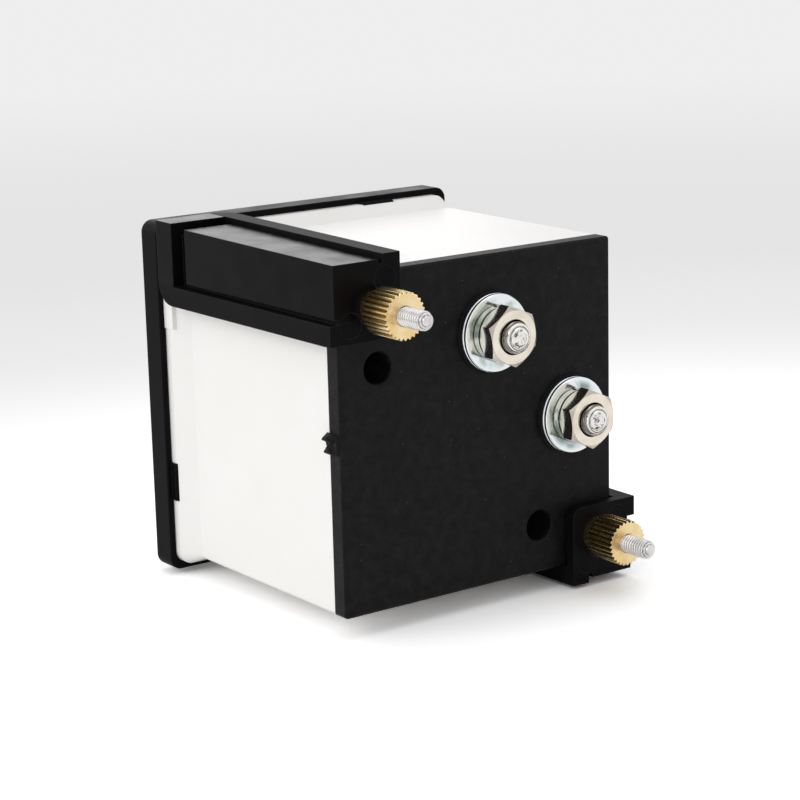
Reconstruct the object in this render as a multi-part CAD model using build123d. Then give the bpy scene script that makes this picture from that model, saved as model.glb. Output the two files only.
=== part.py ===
from build123d import *
import math
import os

# Square panel meter with a ninety degree movement, in millimetres.
# The dial faces -Y, the terminals point to +Y and +Z is up.
# The origin is the centre of the bezel's rear face, the plane that meets the panel.

# Housing
bezel_side = 48.0
bezel_depth = 4.1
bezel_lip = 1.1
bezel_corner = 1.6
bezel_edge = 0.5
bezel_inner_chamfer = 0.5
bezel_rear_edge = 0.2
bezel_frame_width = 3.4
bezel_wall = 0.8
view_corner = 0.8
window_ledge = 1.0
window_thick = 1.5
window_corner = 1.0
window_gap = 0.05
case_wall = 1.4
case_corner = 0.7
flange_step = 1.35
flange_corner = 1.8
flange_flat = 1.1
flange_ramp = 3.3
flange_gap = 0.1
case_depth = 36.3
plate_thick = 2.4
plate_corner = 0.5
plate_edge = 0.25
spigot_depth = 1.2
spigot_wall = 1.1
spigot_gap = 0.05

# Snap hooks of the bezel over the case's flange
hook_near = 8.8
hook_width = 5.2
hook_length = 1.25
hook_thick = 1.05
hook_proud = 0.1
hook_chamfer = 0.35
hook_gap = 0.06

# Guide ribs of the case beside the clamps
rib_width = 3.3
rib_clamp_gap = 0.4
corner_relief = 0.5
rib_under = 1.8
rib_length = 2.1
rib_short_length = 1.0
rib_proud = 0.2

# Corner clamps
clamp_foot_front = 1.4
clamp_stand_off = 2.0
clamp_leg_width = 8.15
clamp_rim_width = 2.6
clamp_groove = 0.65
clamp_foot_thick = 3.7
clamp_front_groove = 2.3
clamp_floor = 1.1
clamp_slide_gap = 0.1
clamp_rim_front_height = 2.95
clamp_rim_rear_height = 2.45
clamp_box_front_height = 2.35
clamp_box_rear_height = 1.8
clamp_wall = 1.4
clamp_toe_radius = 3.0
clamp_end_corner = 1.3
ejector_radius = 1.6
ejector_depth = 0.08
ejector_near_inset = 5.85
ejector_far_inset = 0.65
stud_inset = 4.2
stud_radius = 1.25
stud_free_length = 12.9
stud_tip_length = 0.9
stud_tip_share = 0.55
stud_head_radius = 2.3
stud_head_thick = 1.3
stud_head_cover = 2.2
stud_boss_radius = 3.5
stud_boss_depth = 4.0
stud_hole_gap = 0.08
nut_length = 6.3
nut_collar_radius = 2.3
nut_collar_length = 1.3
nut_radius = 3.0
nut_groove_depth = 0.28
nut_teeth = 28
nut_bore_gap = 0.05
nut_seat_gap = 0.03
nut_rear_edge = 0.25

# Terminals
terminal_place_shares = {"1": (-0.0805, 0.5402), "2": (-0.6713, -0.046)}
terminal_radius = 2.0
terminal_tip_radius = 1.8
terminal_tip_straight = 0.45
terminal_tip_dome = 0.35
terminal_boss_radius = 5.35
terminal_boss_height = 0.3
terminal_hex = 7.0
terminal_head_thick = 2.8
washer_radius = 5.05
washer_hole_gap = 0.15
washer_thick = 0.6
washer_edge = 0.12
spring_washer_radius = 3.45
spring_washer_thick = 1.0
spring_split = 0.45
spring_split_angle = 25.0
hex_nut_thick = 2.4
hex_nut_crown_share = 0.9
hexagon_half_angle = 30.0
hex_nut_countersink = 0.3
hex_nut_angles = {"1": -7.5, "2": -4.5}
tag_radius = 3.7
tag_thick = 0.6
tag_width = 2.4
tag_length = 7.6
tag_angles = {"1": 225.0, "2": 90.0}

# Case screws, seen in the two holes of the rear plate
case_screw_place_shares = {"1": (0.731, 0.4414), "2": (-0.4322, -0.708)}
access_radius = 2.05
access_chamfer = 0.15
sleeve_wall = 0.9
sleeve_depth = 7.3
sleeve_floor = 1.5
case_screw_radius = 1.1
case_screw_head_radius = 1.75
case_screw_head_thick = 1.6
case_screw_head_edge = 0.4
case_screw_slot_length = 2.1
case_screw_slot_width = 0.56
case_screw_slot_depth = 0.8
case_screw_slot_angles = (45.0, 135.0)
case_screw_hole_gap = 0.1
case_screw_grip = 4.5

# Movement frame
frame_plate_space = 11.8
frame_thick = 1.8
frame_boss_radius = 2.9
frame_window_shares = (-0.811, 0.344, -0.344, 0.737)
frame_window_corner = 2.0
post_radius = 2.2
post_inset = 2.85

# Dial
dial_setback = 4.1
dial_thick = 0.5
dial_gap = 0.1
dial_opening_gap = 0.55
dial_screw_radius = 0.8
dial_screw_head_radius = 1.6
dial_screw_head_thick = 0.7
dial_screw_length = 5.0
stop_radius = 0.45
stop_height = 1.6
stop_tip_inset = 4.5
stop_gap = 0.06
mask_setback = 1.5
mask_thick = 0.8
mask_overlap = 1.8
mask_gap = 0.15
mask_peg_radius = 0.65
mask_peg_inset = 0.95
mask_peg_angles = (72.0, 198.0)

# Movement, on an axis along Y at the lower right seen from the front
axis_wall_gap = 0.14
core_radius = 4.4
core_edge = 0.3
yoke_inner_radius = 6.3
yoke_radius = 7.7
ear_radius = 1.85
ear_place_radius = 9.0
ear_angles = (45.0, 225.0)
lug_width = 2.4
lug_inset = 1.2
lug_angles = (135.0, 315.0)
former_half_width = 4.8
former_thick = 0.25
former_end_gap = 0.45
coil_width = 3.0
winding_thick = 0.7
winding_side_inset = 0.15
coil_corner = 0.6
bridge_setback = 0.8
bridge_core_space = 4.0
bridge_thick = 0.9
bridge_half_width = 1.8
bridge_lug_length = 3.6
bridge_lug_half_width = 1.0
rear_ear_length = 2.3
rear_arm_length = 11.3
rear_arm_half_width = 1.0
spacer_radius = 1.35
bridge_screw_radius = 0.8
bridge_screw_head_radius = 1.45
bridge_screw_head_thick = 0.85
bridge_screw_grip = 1.2
screw_slot_width = 0.35
screw_slot_depth = 0.35
jewel_radius = 1.0
jewel_head_radius = 1.5
jewel_head_thick = 0.55
jewel_head_lift = 0.7
jewel_inner_length = 0.6
jewel_cup_radius = 0.35
jewel_cup_depth = 1.0
pivot_gap = 0.07
pivot_end_gap = 0.1
collet_radius = 0.75
staff_foot_radius = 1.4
staff_foot_thick = 0.4
spring_strip = 0.16
spring_height = 0.4
spring_inner_gap = 0.12
spring_step = 0.68
spring_turns = 4
spring_clear = 0.25

# Pointer
pointer_dial_gap = 0.85
pointer_thick = 0.3
pointer_hub_radius = 1.5
pointer_bend = 5.5
pointer_end_gap = 6.85
pointer_half_width = 0.4
pointer_blade_half_width = 0.75
pointer_blade_length = 10.5
pointer_blade_swell = 1.65
pointer_tip_half_width = 0.09
tail_length = 6.2
tail_half_width = 0.3
side_arm_length = 5.0
weight_place = 5.4
weight_length = 1.9
weight_radius = 0.929
side_weight_place = 4.4
side_weight_length = 0.8
side_weight_radius = 0.55

# Zero adjuster
zero_distance = 5.9
zero_angle = 315.0
zero_head_radius = 2.2
zero_head_thick = 0.75
zero_shank_radius = 1.3
zero_bore_gap = 0.07
zero_collar_radius = 1.8
zero_collar_thick = 0.4
zero_collar_gap = 0.05
zero_shank_gap = 0.35
zero_slot_width = 0.7
zero_slot_depth = 0.4
zero_pin_radius = 0.4
zero_pin_distance = 0.55
zero_pin_length = 1.0
lever_bridge_gap = 0.25
lever_thick = 0.4
lever_ring_radius = 2.1
lever_bore_gap = 0.05
lever_half_width = 1.1
lever_slot_gap = 0.09
lever_slot_half_length = 0.95
lever_tip_margin = 0.5
spring_lug_width = 0.9
spring_lug_thick = 0.5

# Wiring
resistor_place_shares = (-0.3218, 0.2989)
resistor_frame_gap = 0.7
resistor_length = 6.0
resistor_radius = 1.25
resistor_waist_radius = 1.05
resistor_end_share = 0.22
resistor_end_edge = 0.3
resistor_lead_radius = 0.3
resistor_lead_gap = 0.2
wire_radius = 0.5
wire_bend = 2.0
wire_points = ((-14.6, 24.0, 5.0), (-13.6, 12.0, -6.0), (2.8, 8.5, -18.1))

# Mould gate left on the plate's side
gate_depth = 0.4
gate_half_width = 1.15
gate_height = 0.6
gate_inset = 0.3

# Overrun for cuts, and how near an edge lies to a line to be picked
over = 1.0
near = 0.25
plane_slack = 0.01

# Sides and places worked out from the sizes above
view_side = bezel_side - 2 * bezel_frame_width
window_side = view_side + 2 * window_ledge
flange_side = bezel_side - 2 * bezel_wall - 2 * flange_gap
case_side = flange_side - 2 * flange_step
half_case = case_side / 2
half_flange = flange_side / 2
inner_half = half_case - case_wall
clamp_inner = half_case - clamp_leg_width
corner_start = clamp_inner - corner_relief
rib_near = clamp_inner - rib_clamp_gap - rib_width
stud_place = half_case - stud_inset
ejector_near = half_case - ejector_near_inset
ejector_far = half_case - ejector_far_inset
clamp_rim_front = half_case + clamp_rim_front_height
clamp_rim_rear = half_case + clamp_rim_rear_height
clamp_box_front = half_case + clamp_box_front_height
clamp_box_rear = half_case + clamp_box_rear_height
terminal_places = {key: (x * half_case, z * half_case) for key, (x, z) in terminal_place_shares.items()}
case_screw_places = {key: (x * half_case, z * half_case) for key, (x, z) in case_screw_place_shares.items()}
resistor_place = tuple(share * half_case for share in resistor_place_shares)
frame_window = tuple(share * inner_half for share in frame_window_shares)
post_place = inner_half - post_inset
ear_side_place = ear_place_radius * math.cos(math.radians(ear_angles[0]))
axis_x = inner_half - axis_wall_gap - max(ear_radius + ear_side_place, yoke_radius)
axis_z = -axis_x
dial_opening_radius = ear_place_radius + bridge_screw_head_radius + dial_opening_gap
mask_radius = dial_opening_radius + mask_overlap
mask_peg_place_radius = mask_radius - mask_peg_inset
zero_x = axis_x + zero_distance * math.cos(math.radians(zero_angle))
zero_z = axis_z + zero_distance * math.sin(math.radians(zero_angle))
pointer_reach = axis_x + inner_half - pointer_end_gap
pointer_blade_start = pointer_reach - pointer_blade_length
stop_place_radius = pointer_reach - stop_tip_inset

# Planes along Y worked out from the sizes above
window_front = bezel_lip - bezel_depth
case_front = window_front + window_thick
mask_front = case_front + mask_setback
dial_front = case_front + dial_setback
dial_rear = dial_front + dial_thick
pointer_front = dial_front - pointer_dial_gap - pointer_thick
bridge_front = dial_front + bridge_setback
bridge_rear = bridge_front + bridge_thick
lever_front = bridge_front - lever_bridge_gap - lever_thick
zero_shank_end = lever_front - zero_shank_gap
plate_front = case_depth
plate_rear = case_depth + plate_thick
clamp_rear = plate_rear + clamp_stand_off
stud_end = plate_rear + stud_free_length
frame_front = plate_front - frame_plate_space
frame_rear = frame_front + frame_thick
rear_bridge_rear = frame_front - rear_ear_length
rear_bridge_front = rear_bridge_rear - bridge_thick
core_front = bridge_rear + bridge_core_space
core_rear = rear_bridge_front - bridge_core_space
former_front = core_front - former_end_gap - former_thick
former_rear = core_rear + former_end_gap + former_thick
winding_front = former_front - winding_thick
winding_rear = former_rear + winding_thick
jewel_tip = bridge_rear + jewel_inner_length
rear_jewel_tip = rear_bridge_front - jewel_inner_length
tag_front = plate_front - tag_thick
nut_front = clamp_rear + nut_seat_gap
terminal_seat = plate_rear + terminal_boss_height
spring_seat = terminal_seat + 2 * washer_thick
hex_seat = spring_seat + spring_washer_thick
hex_face = hex_seat + hex_nut_thick
hub_rear = winding_front - staff_foot_thick - spring_clear
spring_start = collet_radius + spring_inner_gap + spring_strip / 2
spring_end = spring_start + spring_turns * spring_step
front_spring_front = jewel_tip + spring_clear
rear_spring_front = rear_jewel_tip - spring_clear - spring_height
resistor_front = frame_rear + resistor_frame_gap
resistor_lead_turn = frame_rear - resistor_frame_gap
resistor_lead_low = frame_front - resistor_lead_gap


def slab(outline, front, rear):
    """An outline in X and Z, made solid from its front plane to its rear plane."""
    return extrude(Plane.XZ.offset(-rear) * outline, rear - front)


def disc(radius, x, z):
    return Pos(x, z) * Circle(radius)


def rod(radius, front, rear, x, z):
    return slab(disc(radius, x, z), front, rear)


def span(low_x, high_x, low_z, high_z):
    """A rectangle between two X and two Z values."""
    middle = Pos((low_x + high_x) / 2, (low_z + high_z) / 2)
    return middle * Rectangle(high_x - low_x, high_z - low_z)


def square(side, corner):
    return RectangleRounded(side, side, corner)


def strip(start, end, half_width, angle, x, z):
    """A straight strip that leaves a point at an angle, seen from the front."""
    length = end - start
    outline = Pos(start + length / 2, 0) * Rectangle(length, 2 * half_width)
    return Pos(x, z) * (Rot(0, 0, angle) * outline)


def tab(start, end, width, angle, x, z):
    """A strip with one edge on the line that leaves a point at an angle."""
    return Pos(x, z) * (Rot(0, 0, angle) * span(start, end, 0, width))


def polar(radius, angle, x, z):
    """A place at a radius and an angle about a point, seen from the front."""
    turn = math.radians(angle)
    return (x + radius * math.cos(turn), z + radius * math.sin(turn))


def hexagon_reach(across_flats):
    """The radius of a hexagon's corners."""
    return across_flats / 2 / math.cos(math.radians(hexagon_half_angle))


def hexagon(across_flats, angle, x, z):
    outline = RegularPolygon(hexagon_reach(across_flats), 6, rotation=hexagon_half_angle)
    return Pos(x, z) * (Rot(0, 0, angle) * outline)


def turned(solid, quarter_turns):
    """A copy turned about the Y axis by quarter turns."""
    return Rot(0, 90 * quarter_turns, 0) * solid


def edges_at(solid, axis, value):
    """The edges that lie in the plane where one coordinate has a value."""
    found = []
    for edge in solid.edges():
        box = edge.bounding_box()
        low = getattr(box.min, axis)
        high = getattr(box.max, axis)
        if abs(low - value) < plane_slack and abs(high - value) < plane_slack:
            found.append(edge)
    return found


def ring_edges(solid, plane, x, z):
    """The closed edges in a plane across Y whose middle is at a place."""
    found = []
    for edge in edges_at(solid, "Y", plane):
        middle = edge.bounding_box().center()
        if edge.is_closed and abs(middle.X - x) < near and abs(middle.Z - z) < near:
            found.append(edge)
    return found


def build_bezel():
    body = slab(square(bezel_side, bezel_corner), -bezel_depth, 0)
    body = fillet(edges_at(body, "Y", -bezel_depth), bezel_edge)
    body = fillet(edges_at(body, "Y", 0), bezel_rear_edge)
    view = slab(square(view_side, view_corner), -bezel_depth - over, window_front + over)
    body -= view
    front_edges = edges_at(body, "Y", -bezel_depth)
    inside = [e for e in front_edges if abs(e.center().X) < view_side / 2 + over / 2
              and abs(e.center().Z) < view_side / 2 + over / 2]
    body = chamfer(inside, bezel_inner_chamfer)
    body -= slab(square(window_side + 2 * window_gap, window_corner), window_front, over)
    recess = flange_side + 2 * flange_gap
    body -= slab(square(recess, flange_corner), case_front, over)
    inner = half_flange + flange_gap - hook_thick
    outer = half_flange + flange_gap + hook_proud
    hook = slab(span(inner, outer, -hook_near - hook_width, -hook_near), case_front, hook_length)
    tip = edges_at(hook, "Y", hook_length)
    hook = chamfer([e for e in tip if abs(e.center().X - outer) < near], hook_chamfer)
    for quarter in range(4):
        body += turned(hook if quarter % 2 == 0 else mirror(hook, Plane.XY), quarter)
    return body


def build_window():
    body = slab(square(window_side, window_corner), window_front, case_front)
    return body - rod(zero_shank_radius + zero_bore_gap, window_front - over, case_front + over, zero_x, zero_z)


def build_case():
    body = slab(square(case_side, case_corner), case_front, case_depth)
    body += slab(square(flange_side, flange_corner), case_front, flange_flat)
    ramp_end = flange_flat + flange_ramp
    ramp = [Plane.XZ.offset(-flange_flat) * square(flange_side, flange_corner),
            Plane.XZ.offset(-ramp_end) * square(case_side, case_corner)]
    body += loft(ramp)
    rib_outer = half_flange + rib_proud
    for turn in (0, 2):
        beyond = half_flange + over
        corner = slab(span(corner_start, beyond, corner_start, beyond), flange_flat, ramp_end + over)
        corner -= slab(square(case_side, case_corner), case_front, case_depth)
        body -= turned(corner, turn)
        rib_end = rib_near + rib_width
        rib = slab(span(half_case - over, rib_outer, rib_near, rib_end), 0, rib_length)
        rib += slab(span(half_case - over, rib_outer, rib_near, rib_end + rib_under), 0, rib_short_length)
        mirrored = mirror(rib, Plane(origin=(0, 0, 0), z_dir=(1, 0, -1)))
        body += turned(rib, turn) + turned(mirrored, turn)
    body -= slab(square(2 * inner_half, case_corner), case_front - over, case_depth + over)
    outer = half_flange + flange_gap
    notch = slab(span(outer - hook_thick - hook_gap, outer + over,
                      -hook_near - hook_width - hook_gap, -hook_near + hook_gap),
                 case_front - over, hook_length + hook_gap)
    for quarter in range(4):
        body -= turned(notch if quarter % 2 == 0 else mirror(notch, Plane.XY), quarter)
    return body


def build_rear_plate():
    body = slab(square(case_side, plate_corner), plate_front, plate_rear)
    body = chamfer(edges_at(body, "Y", plate_rear), plate_edge)
    spigot_side = 2 * (inner_half - spigot_gap)
    spigot = slab(square(spigot_side, case_corner), plate_front - spigot_depth, plate_front)
    body += spigot - slab(square(spigot_side - 2 * spigot_wall, case_corner), plate_front - spigot_depth - over,
                          plate_front)
    for x, z in terminal_places.values():
        body += rod(terminal_boss_radius, plate_rear, terminal_seat, x, z)
    for sign in (1, -1):
        boss = disc(stud_boss_radius, sign * stud_place, sign * stud_place)
        body += slab(boss & square(spigot_side, case_corner), plate_front - stud_boss_depth, plate_front)
    for x, z in case_screw_places.values():
        body += rod(access_radius + sleeve_wall, plate_front - sleeve_depth, plate_front, x, z)
    for x, z in terminal_places.values():
        body -= rod(terminal_radius, plate_front - over, terminal_seat + over, x, z)
    for sign in (1, -1):
        body -= clamp_stud_solid(sign, plate_rear + over)
    for x, z in case_screw_places.values():
        body -= rod(access_radius, plate_front - sleeve_depth + sleeve_floor, plate_rear + over, x, z)
        body -= rod(case_screw_radius + case_screw_hole_gap, plate_front - sleeve_depth - over, plate_rear, x, z)
        body = chamfer(ring_edges(body, plate_rear, x, z), access_chamfer)
    gate_mid = (plate_front + plate_rear) / 2
    gate = Pos(half_case, gate_mid, gate_height) * Cylinder(plate_thick / 2 - gate_inset, 2 * gate_half_width)
    reach = slab(span(half_case - gate_depth, half_case + gate_depth, -half_case, half_case), plate_front, plate_rear)
    return body + (gate & reach)


def clamp_stud_solid(sign, end):
    """A threaded stud with the round head that is moulded into the plate's boss."""
    place = sign * stud_place
    head_rear = plate_rear - stud_head_cover
    body = rod(stud_radius, head_rear - stud_head_thick, end, place, place)
    return body + rod(stud_head_radius, head_rear - stud_head_thick, head_rear, place, place)


def build_clamp_stud(sign):
    body = clamp_stud_solid(sign, stud_end)
    tip = edges_at(body, "Y", stud_end)
    flat = body.faces().sort_by(Axis.Y)[-1]
    return chamfer(tip, stud_radius * stud_tip_share, stud_tip_length, reference=flat)


def drafted(front_size, rear_size):
    """A block whose +X and +Z faces lean inwards towards the rear."""
    reach = clamp_rim_front + over
    profile = Polygon((0, clamp_foot_front - over), (front_size, clamp_foot_front), (rear_size, clamp_rear),
                      (rear_size, clamp_rear + over), (0, clamp_rear + over), align=None)
    block = extrude(profile, reach)
    return block & mirror(block, Plane(origin=(0, 0, 0), z_dir=(1, 0, -1)))


def build_clamp_bracket():
    """An L-shaped moulding over one corner of the case, with a rim round each leg and a raised middle."""
    diagonal = Plane(origin=(0, 0, 0), z_dir=(1, 0, -1))
    leg_inner = half_case + clamp_slide_gap
    reach = clamp_rim_front + over
    leg = slab(span(leg_inner, reach, clamp_inner, reach), clamp_foot_front, clamp_rear)
    toe = [e for e in edges_at(leg, "Y", clamp_foot_front) if abs(e.center().Z - clamp_inner) < near]
    leg = fillet(toe, clamp_toe_radius)
    wall_front = clamp_rear - clamp_wall
    wall = slab(span(clamp_inner, reach, clamp_inner, reach), wall_front, clamp_rear)
    inner_corner = [e for e in wall.edges().filter_by(Axis.Y)
                    if abs(e.center().X - clamp_inner) < near and abs(e.center().Z - clamp_inner) < near]
    wall = fillet(inner_corner, clamp_end_corner)
    body = (leg + mirror(leg, diagonal) + wall) & drafted(clamp_rim_front, clamp_rim_rear)
    rim_edge = clamp_inner + clamp_rim_width
    floor = leg_inner + clamp_floor
    hollow = slab(span(rim_edge, reach, rim_edge, reach), clamp_foot_front + clamp_foot_thick, clamp_rear + over)
    hollow -= slab(span(0, floor, 0, floor), clamp_foot_front, clamp_rear + 2 * over)
    body -= hollow
    box_edge = rim_edge + clamp_groove
    box_front = clamp_foot_front + clamp_foot_thick + clamp_front_groove
    middle = slab(span(box_edge, reach, box_edge, reach), box_front, clamp_rear)
    middle -= slab(span(0, leg_inner, 0, leg_inner), clamp_foot_front, wall_front)
    body += middle & drafted(clamp_box_front, clamp_box_rear)
    body -= rod(stud_radius + stud_hole_gap, wall_front - over, clamp_rear + over, stud_place, stud_place)
    for x, z in ((ejector_near, ejector_far), (ejector_far, ejector_near)):
        body -= rod(ejector_radius, clamp_rear - ejector_depth, clamp_rear + over, x, z)
    return body


def build_clamp_nut(sign):
    """A long knurled nut with a plain collar that bears on the clamp."""
    place = sign * stud_place
    points = []
    for tooth in range(nut_teeth):
        step = 360 / nut_teeth
        points.append(polar(nut_radius, tooth * step, place, place))
        points.append(polar(nut_radius - nut_groove_depth, (tooth + 1 / 2) * step, place, place))
    knurl_front = nut_front + nut_collar_length
    nut_rear = nut_front + nut_length
    barrel = rod(nut_radius, knurl_front, nut_rear, place, place)
    barrel = chamfer(edges_at(barrel, "Y", nut_rear), nut_rear_edge)
    body = slab(Polygon(*points, align=None), knurl_front, nut_rear) & barrel
    body += rod(nut_collar_radius, nut_front, knurl_front, place, place)
    return body - rod(stud_radius + nut_bore_gap, nut_front - over, nut_rear + over, place, place)


def build_terminal_stud(key):
    """A hexagon headed stud from inside the case through the plate, with a domed end."""
    x, z = terminal_places[key]
    head_front = tag_front - terminal_head_thick
    body = rod(terminal_radius, tag_front, hex_face, x, z)
    body += slab(hexagon(terminal_hex, 0, x, z), head_front, tag_front)
    tip_end = hex_face + terminal_tip_straight + terminal_tip_dome
    tip = rod(terminal_tip_radius, hex_face, tip_end, x, z)
    return body + chamfer(edges_at(tip, "Y", tip_end), terminal_tip_dome)


def build_flat_washer(key, layer):
    x, z = terminal_places[key]
    front = terminal_seat + layer * washer_thick
    body = rod(washer_radius, front, front + washer_thick, x, z)
    body = chamfer(body.edges().filter_by(GeomType.CIRCLE), washer_edge)
    return body - rod(terminal_radius + washer_hole_gap, front - over, front + washer_thick + over, x, z)


def build_spring_washer(key):
    x, z = terminal_places[key]
    ring = disc(spring_washer_radius, x, z) - disc(terminal_radius + washer_hole_gap, x, z)
    body = slab(ring, spring_seat, hex_seat)
    cutter = Box(spring_split, 2 * over + spring_washer_thick, spring_washer_radius)
    cutter = Pos(0, 0, spring_washer_radius / 2 + terminal_radius / 2) * cutter
    cutter = Rot(0, 0, spring_split_angle) * cutter
    middle = (spring_seat + hex_seat) / 2
    return body - Pos(x, middle, z) * cutter


def build_hex_nut(key):
    """A hexagon nut with both faces turned down to a chamfered ring and countersunk threads."""
    x, z = terminal_places[key]
    prism = slab(hexagon(terminal_hex, hex_nut_angles[key], x, z), hex_seat, hex_face)
    corner_radius = hexagon_reach(terminal_hex)
    barrel = rod(corner_radius, hex_seat, hex_face, x, z)
    crown = (corner_radius - terminal_hex / 2) * hex_nut_crown_share
    barrel = chamfer(edges_at(barrel, "Y", hex_face) + edges_at(barrel, "Y", hex_seat), crown / 2, crown)
    body = prism & barrel
    body -= rod(terminal_radius, hex_seat - over, hex_face + over, x, z)
    return chamfer(ring_edges(body, hex_face, x, z), hex_nut_countersink)


def build_solder_tag(key):
    x, z = terminal_places[key]
    outline = disc(tag_radius, x, z) + strip(0, tag_length, tag_width / 2, tag_angles[key], x, z)
    outline -= disc(terminal_radius, x, z)
    return slab(outline, tag_front, plate_front)


def build_case_screw(key):
    x, z = case_screw_places[key]
    head_front = plate_front - sleeve_depth + sleeve_floor
    head_rear = head_front + case_screw_head_thick
    body = rod(case_screw_head_radius, head_front, head_rear, x, z)
    body = chamfer(edges_at(body, "Y", head_rear), case_screw_head_edge)
    slot = Box(case_screw_slot_length, 2 * case_screw_slot_depth, case_screw_slot_width)
    for angle in case_screw_slot_angles:
        body -= Pos(x, head_rear, z) * (Rot(0, angle, 0) * slot)
    return body + rod(case_screw_radius, frame_rear - case_screw_grip + frame_thick, head_front, x, z)


def post_places():
    """The three dial posts: one at each corner away from the movement."""
    return ((post_place, post_place), (-post_place, post_place), (-post_place, -post_place))


def build_frame():
    """The moulded frame that carries the dial in front and the movement behind it."""
    side = 2 * inner_half
    body = slab(square(side, case_corner), frame_front, frame_rear)
    low_x, high_x, low_z, high_z = frame_window
    window = Pos((low_x + high_x) / 2, (low_z + high_z) / 2)
    window *= RectangleRounded(high_x - low_x, high_z - low_z, frame_window_corner)
    body -= slab(window, frame_front - over, frame_rear + over)
    for x, z in post_places():
        body += rod(post_radius, dial_rear, frame_front, x, z)
    for x, z in case_screw_places.values():
        body += rod(frame_boss_radius, frame_rear, plate_front - sleeve_depth, x, z)
    for angle in ear_angles:
        x, z = polar(ear_place_radius, angle, axis_x, axis_z)
        body += rod(ear_radius, rear_bridge_rear, frame_front, x, z)
    for x, z in post_places()[:2]:
        body -= rod(dial_screw_radius, dial_rear - over, dial_front + dial_screw_length, x, z)
    for x, z in case_screw_places.values():
        body -= rod(case_screw_radius, frame_rear - case_screw_grip + frame_thick, plate_front, x, z)
    for angle in ear_angles:
        x, z = polar(ear_place_radius, angle, axis_x, axis_z)
        body -= rod(bridge_screw_radius, rear_bridge_rear - over, frame_front + bridge_screw_grip, x, z)
    return body


def build_dial():
    side = 2 * (inner_half - dial_gap)
    outline = square(side, case_corner) - disc(dial_opening_radius, axis_x, axis_z)
    corner = side / 2
    outline -= span(axis_x, corner + over, -corner - over, axis_z)
    for x, z in post_places()[:2]:
        outline -= disc(dial_screw_radius, x, z)
    return slab(outline, dial_front, dial_rear)


def slotted_screw(head_radius, head_thick, radius, head_front, end, x, z):
    """A cheese head screw that faces forwards, with its shank to the rear."""
    head_rear = head_front + head_thick
    body = rod(head_radius, head_front, head_rear, x, z)
    slot = Box(2 * head_radius + over, 2 * screw_slot_depth, screw_slot_width)
    body -= Pos(x, head_front, z) * (Rot(0, ear_angles[0], 0) * slot)
    return body + rod(radius, head_rear, end, x, z)


def build_dial_screw(place):
    x, z = place
    head_front = dial_front - dial_screw_head_thick
    return slotted_screw(dial_screw_head_radius, dial_screw_head_thick, dial_screw_radius, head_front,
                         dial_front + dial_screw_length, x, z)


def build_stop(angle, side):
    """A pin on the dial just past one end of the pointer's travel."""
    taper = (pointer_reach - stop_place_radius) / (pointer_reach - pointer_blade_start)
    blade = pointer_tip_half_width + taper * (pointer_blade_half_width - pointer_tip_half_width)
    off = blade + stop_radius + stop_gap
    x, z = polar(stop_place_radius, angle, axis_x, axis_z)
    x += side * off * math.sin(math.radians(angle))
    z -= side * off * math.cos(math.radians(angle))
    return rod(stop_radius, dial_front - stop_height, dial_front, x, z)


def build_mask():
    """The cover over the movement's corner, on two pegs that stand on the dial."""
    side = 2 * (inner_half - mask_gap)
    outline = disc(mask_radius, axis_x, axis_z) & square(side, case_corner)
    body = slab(outline, mask_front, mask_front + mask_thick)
    for angle in mask_peg_angles:
        x, z = polar(mask_peg_place_radius, angle, axis_x, axis_z)
        body += rod(mask_peg_radius, mask_front + mask_thick, dial_front, x, z)
    bore = rod(zero_shank_radius + zero_bore_gap, mask_front - over, mask_front + mask_thick + over, zero_x, zero_z)
    return body - bore


def build_yoke():
    outline = disc(yoke_radius, axis_x, axis_z)
    for angle in ear_angles:
        x, z = polar(ear_place_radius, angle, axis_x, axis_z)
        outline += strip(0, ear_place_radius, ear_radius, angle, axis_x, axis_z) + disc(ear_radius, x, z)
        outline -= disc(bridge_screw_radius, x, z)
    return slab(outline - disc(yoke_inner_radius, axis_x, axis_z), core_front, core_rear)


def build_core():
    body = rod(core_radius, core_front, core_rear, axis_x, axis_z)
    return chamfer(edges_at(body, "Y", core_front) + edges_at(body, "Y", core_rear), core_edge)


def build_core_lug(angle):
    """A block that holds the core inside the yoke, in the part of the gap that the coil never reaches."""
    bar = strip(0, yoke_radius, lug_width / 2, angle, axis_x, axis_z)
    ring = disc(yoke_inner_radius, axis_x, axis_z) - disc(core_radius, axis_x, axis_z)
    return slab(bar & ring, core_front + lug_inset, core_rear - lug_inset)


def coil_frame(inner_half_width, inner_front, inner_rear, thick, width):
    """A rectangular loop round the core, seen from the side, made solid across its width."""
    length = inner_rear - inner_front
    outer = RectangleRounded(2 * (inner_half_width + thick), length + 2 * thick, coil_corner)
    inner = Rectangle(2 * inner_half_width, length)
    loop = extrude(outer - inner, width / 2, both=True)
    middle = (inner_front + inner_rear) / 2
    return Pos(axis_x, middle, axis_z) * (Rot(0, 90, 0) * loop)


def build_former():
    return coil_frame(former_half_width, core_front - former_end_gap, core_rear + former_end_gap, former_thick,
                      coil_width)


def build_winding():
    return coil_frame(former_half_width + former_thick, former_front, former_rear, winding_thick,
                      coil_width - 2 * winding_side_inset)


def build_staff_front():
    body = rod(staff_foot_radius, winding_front - staff_foot_thick, winding_front, axis_x, axis_z)
    body += rod(collet_radius, jewel_tip + pivot_end_gap, winding_front, axis_x, axis_z)
    needle_end = jewel_tip - jewel_cup_depth + pivot_end_gap
    return body + rod(jewel_cup_radius - pivot_gap, needle_end, winding_front, axis_x, axis_z)


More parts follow.
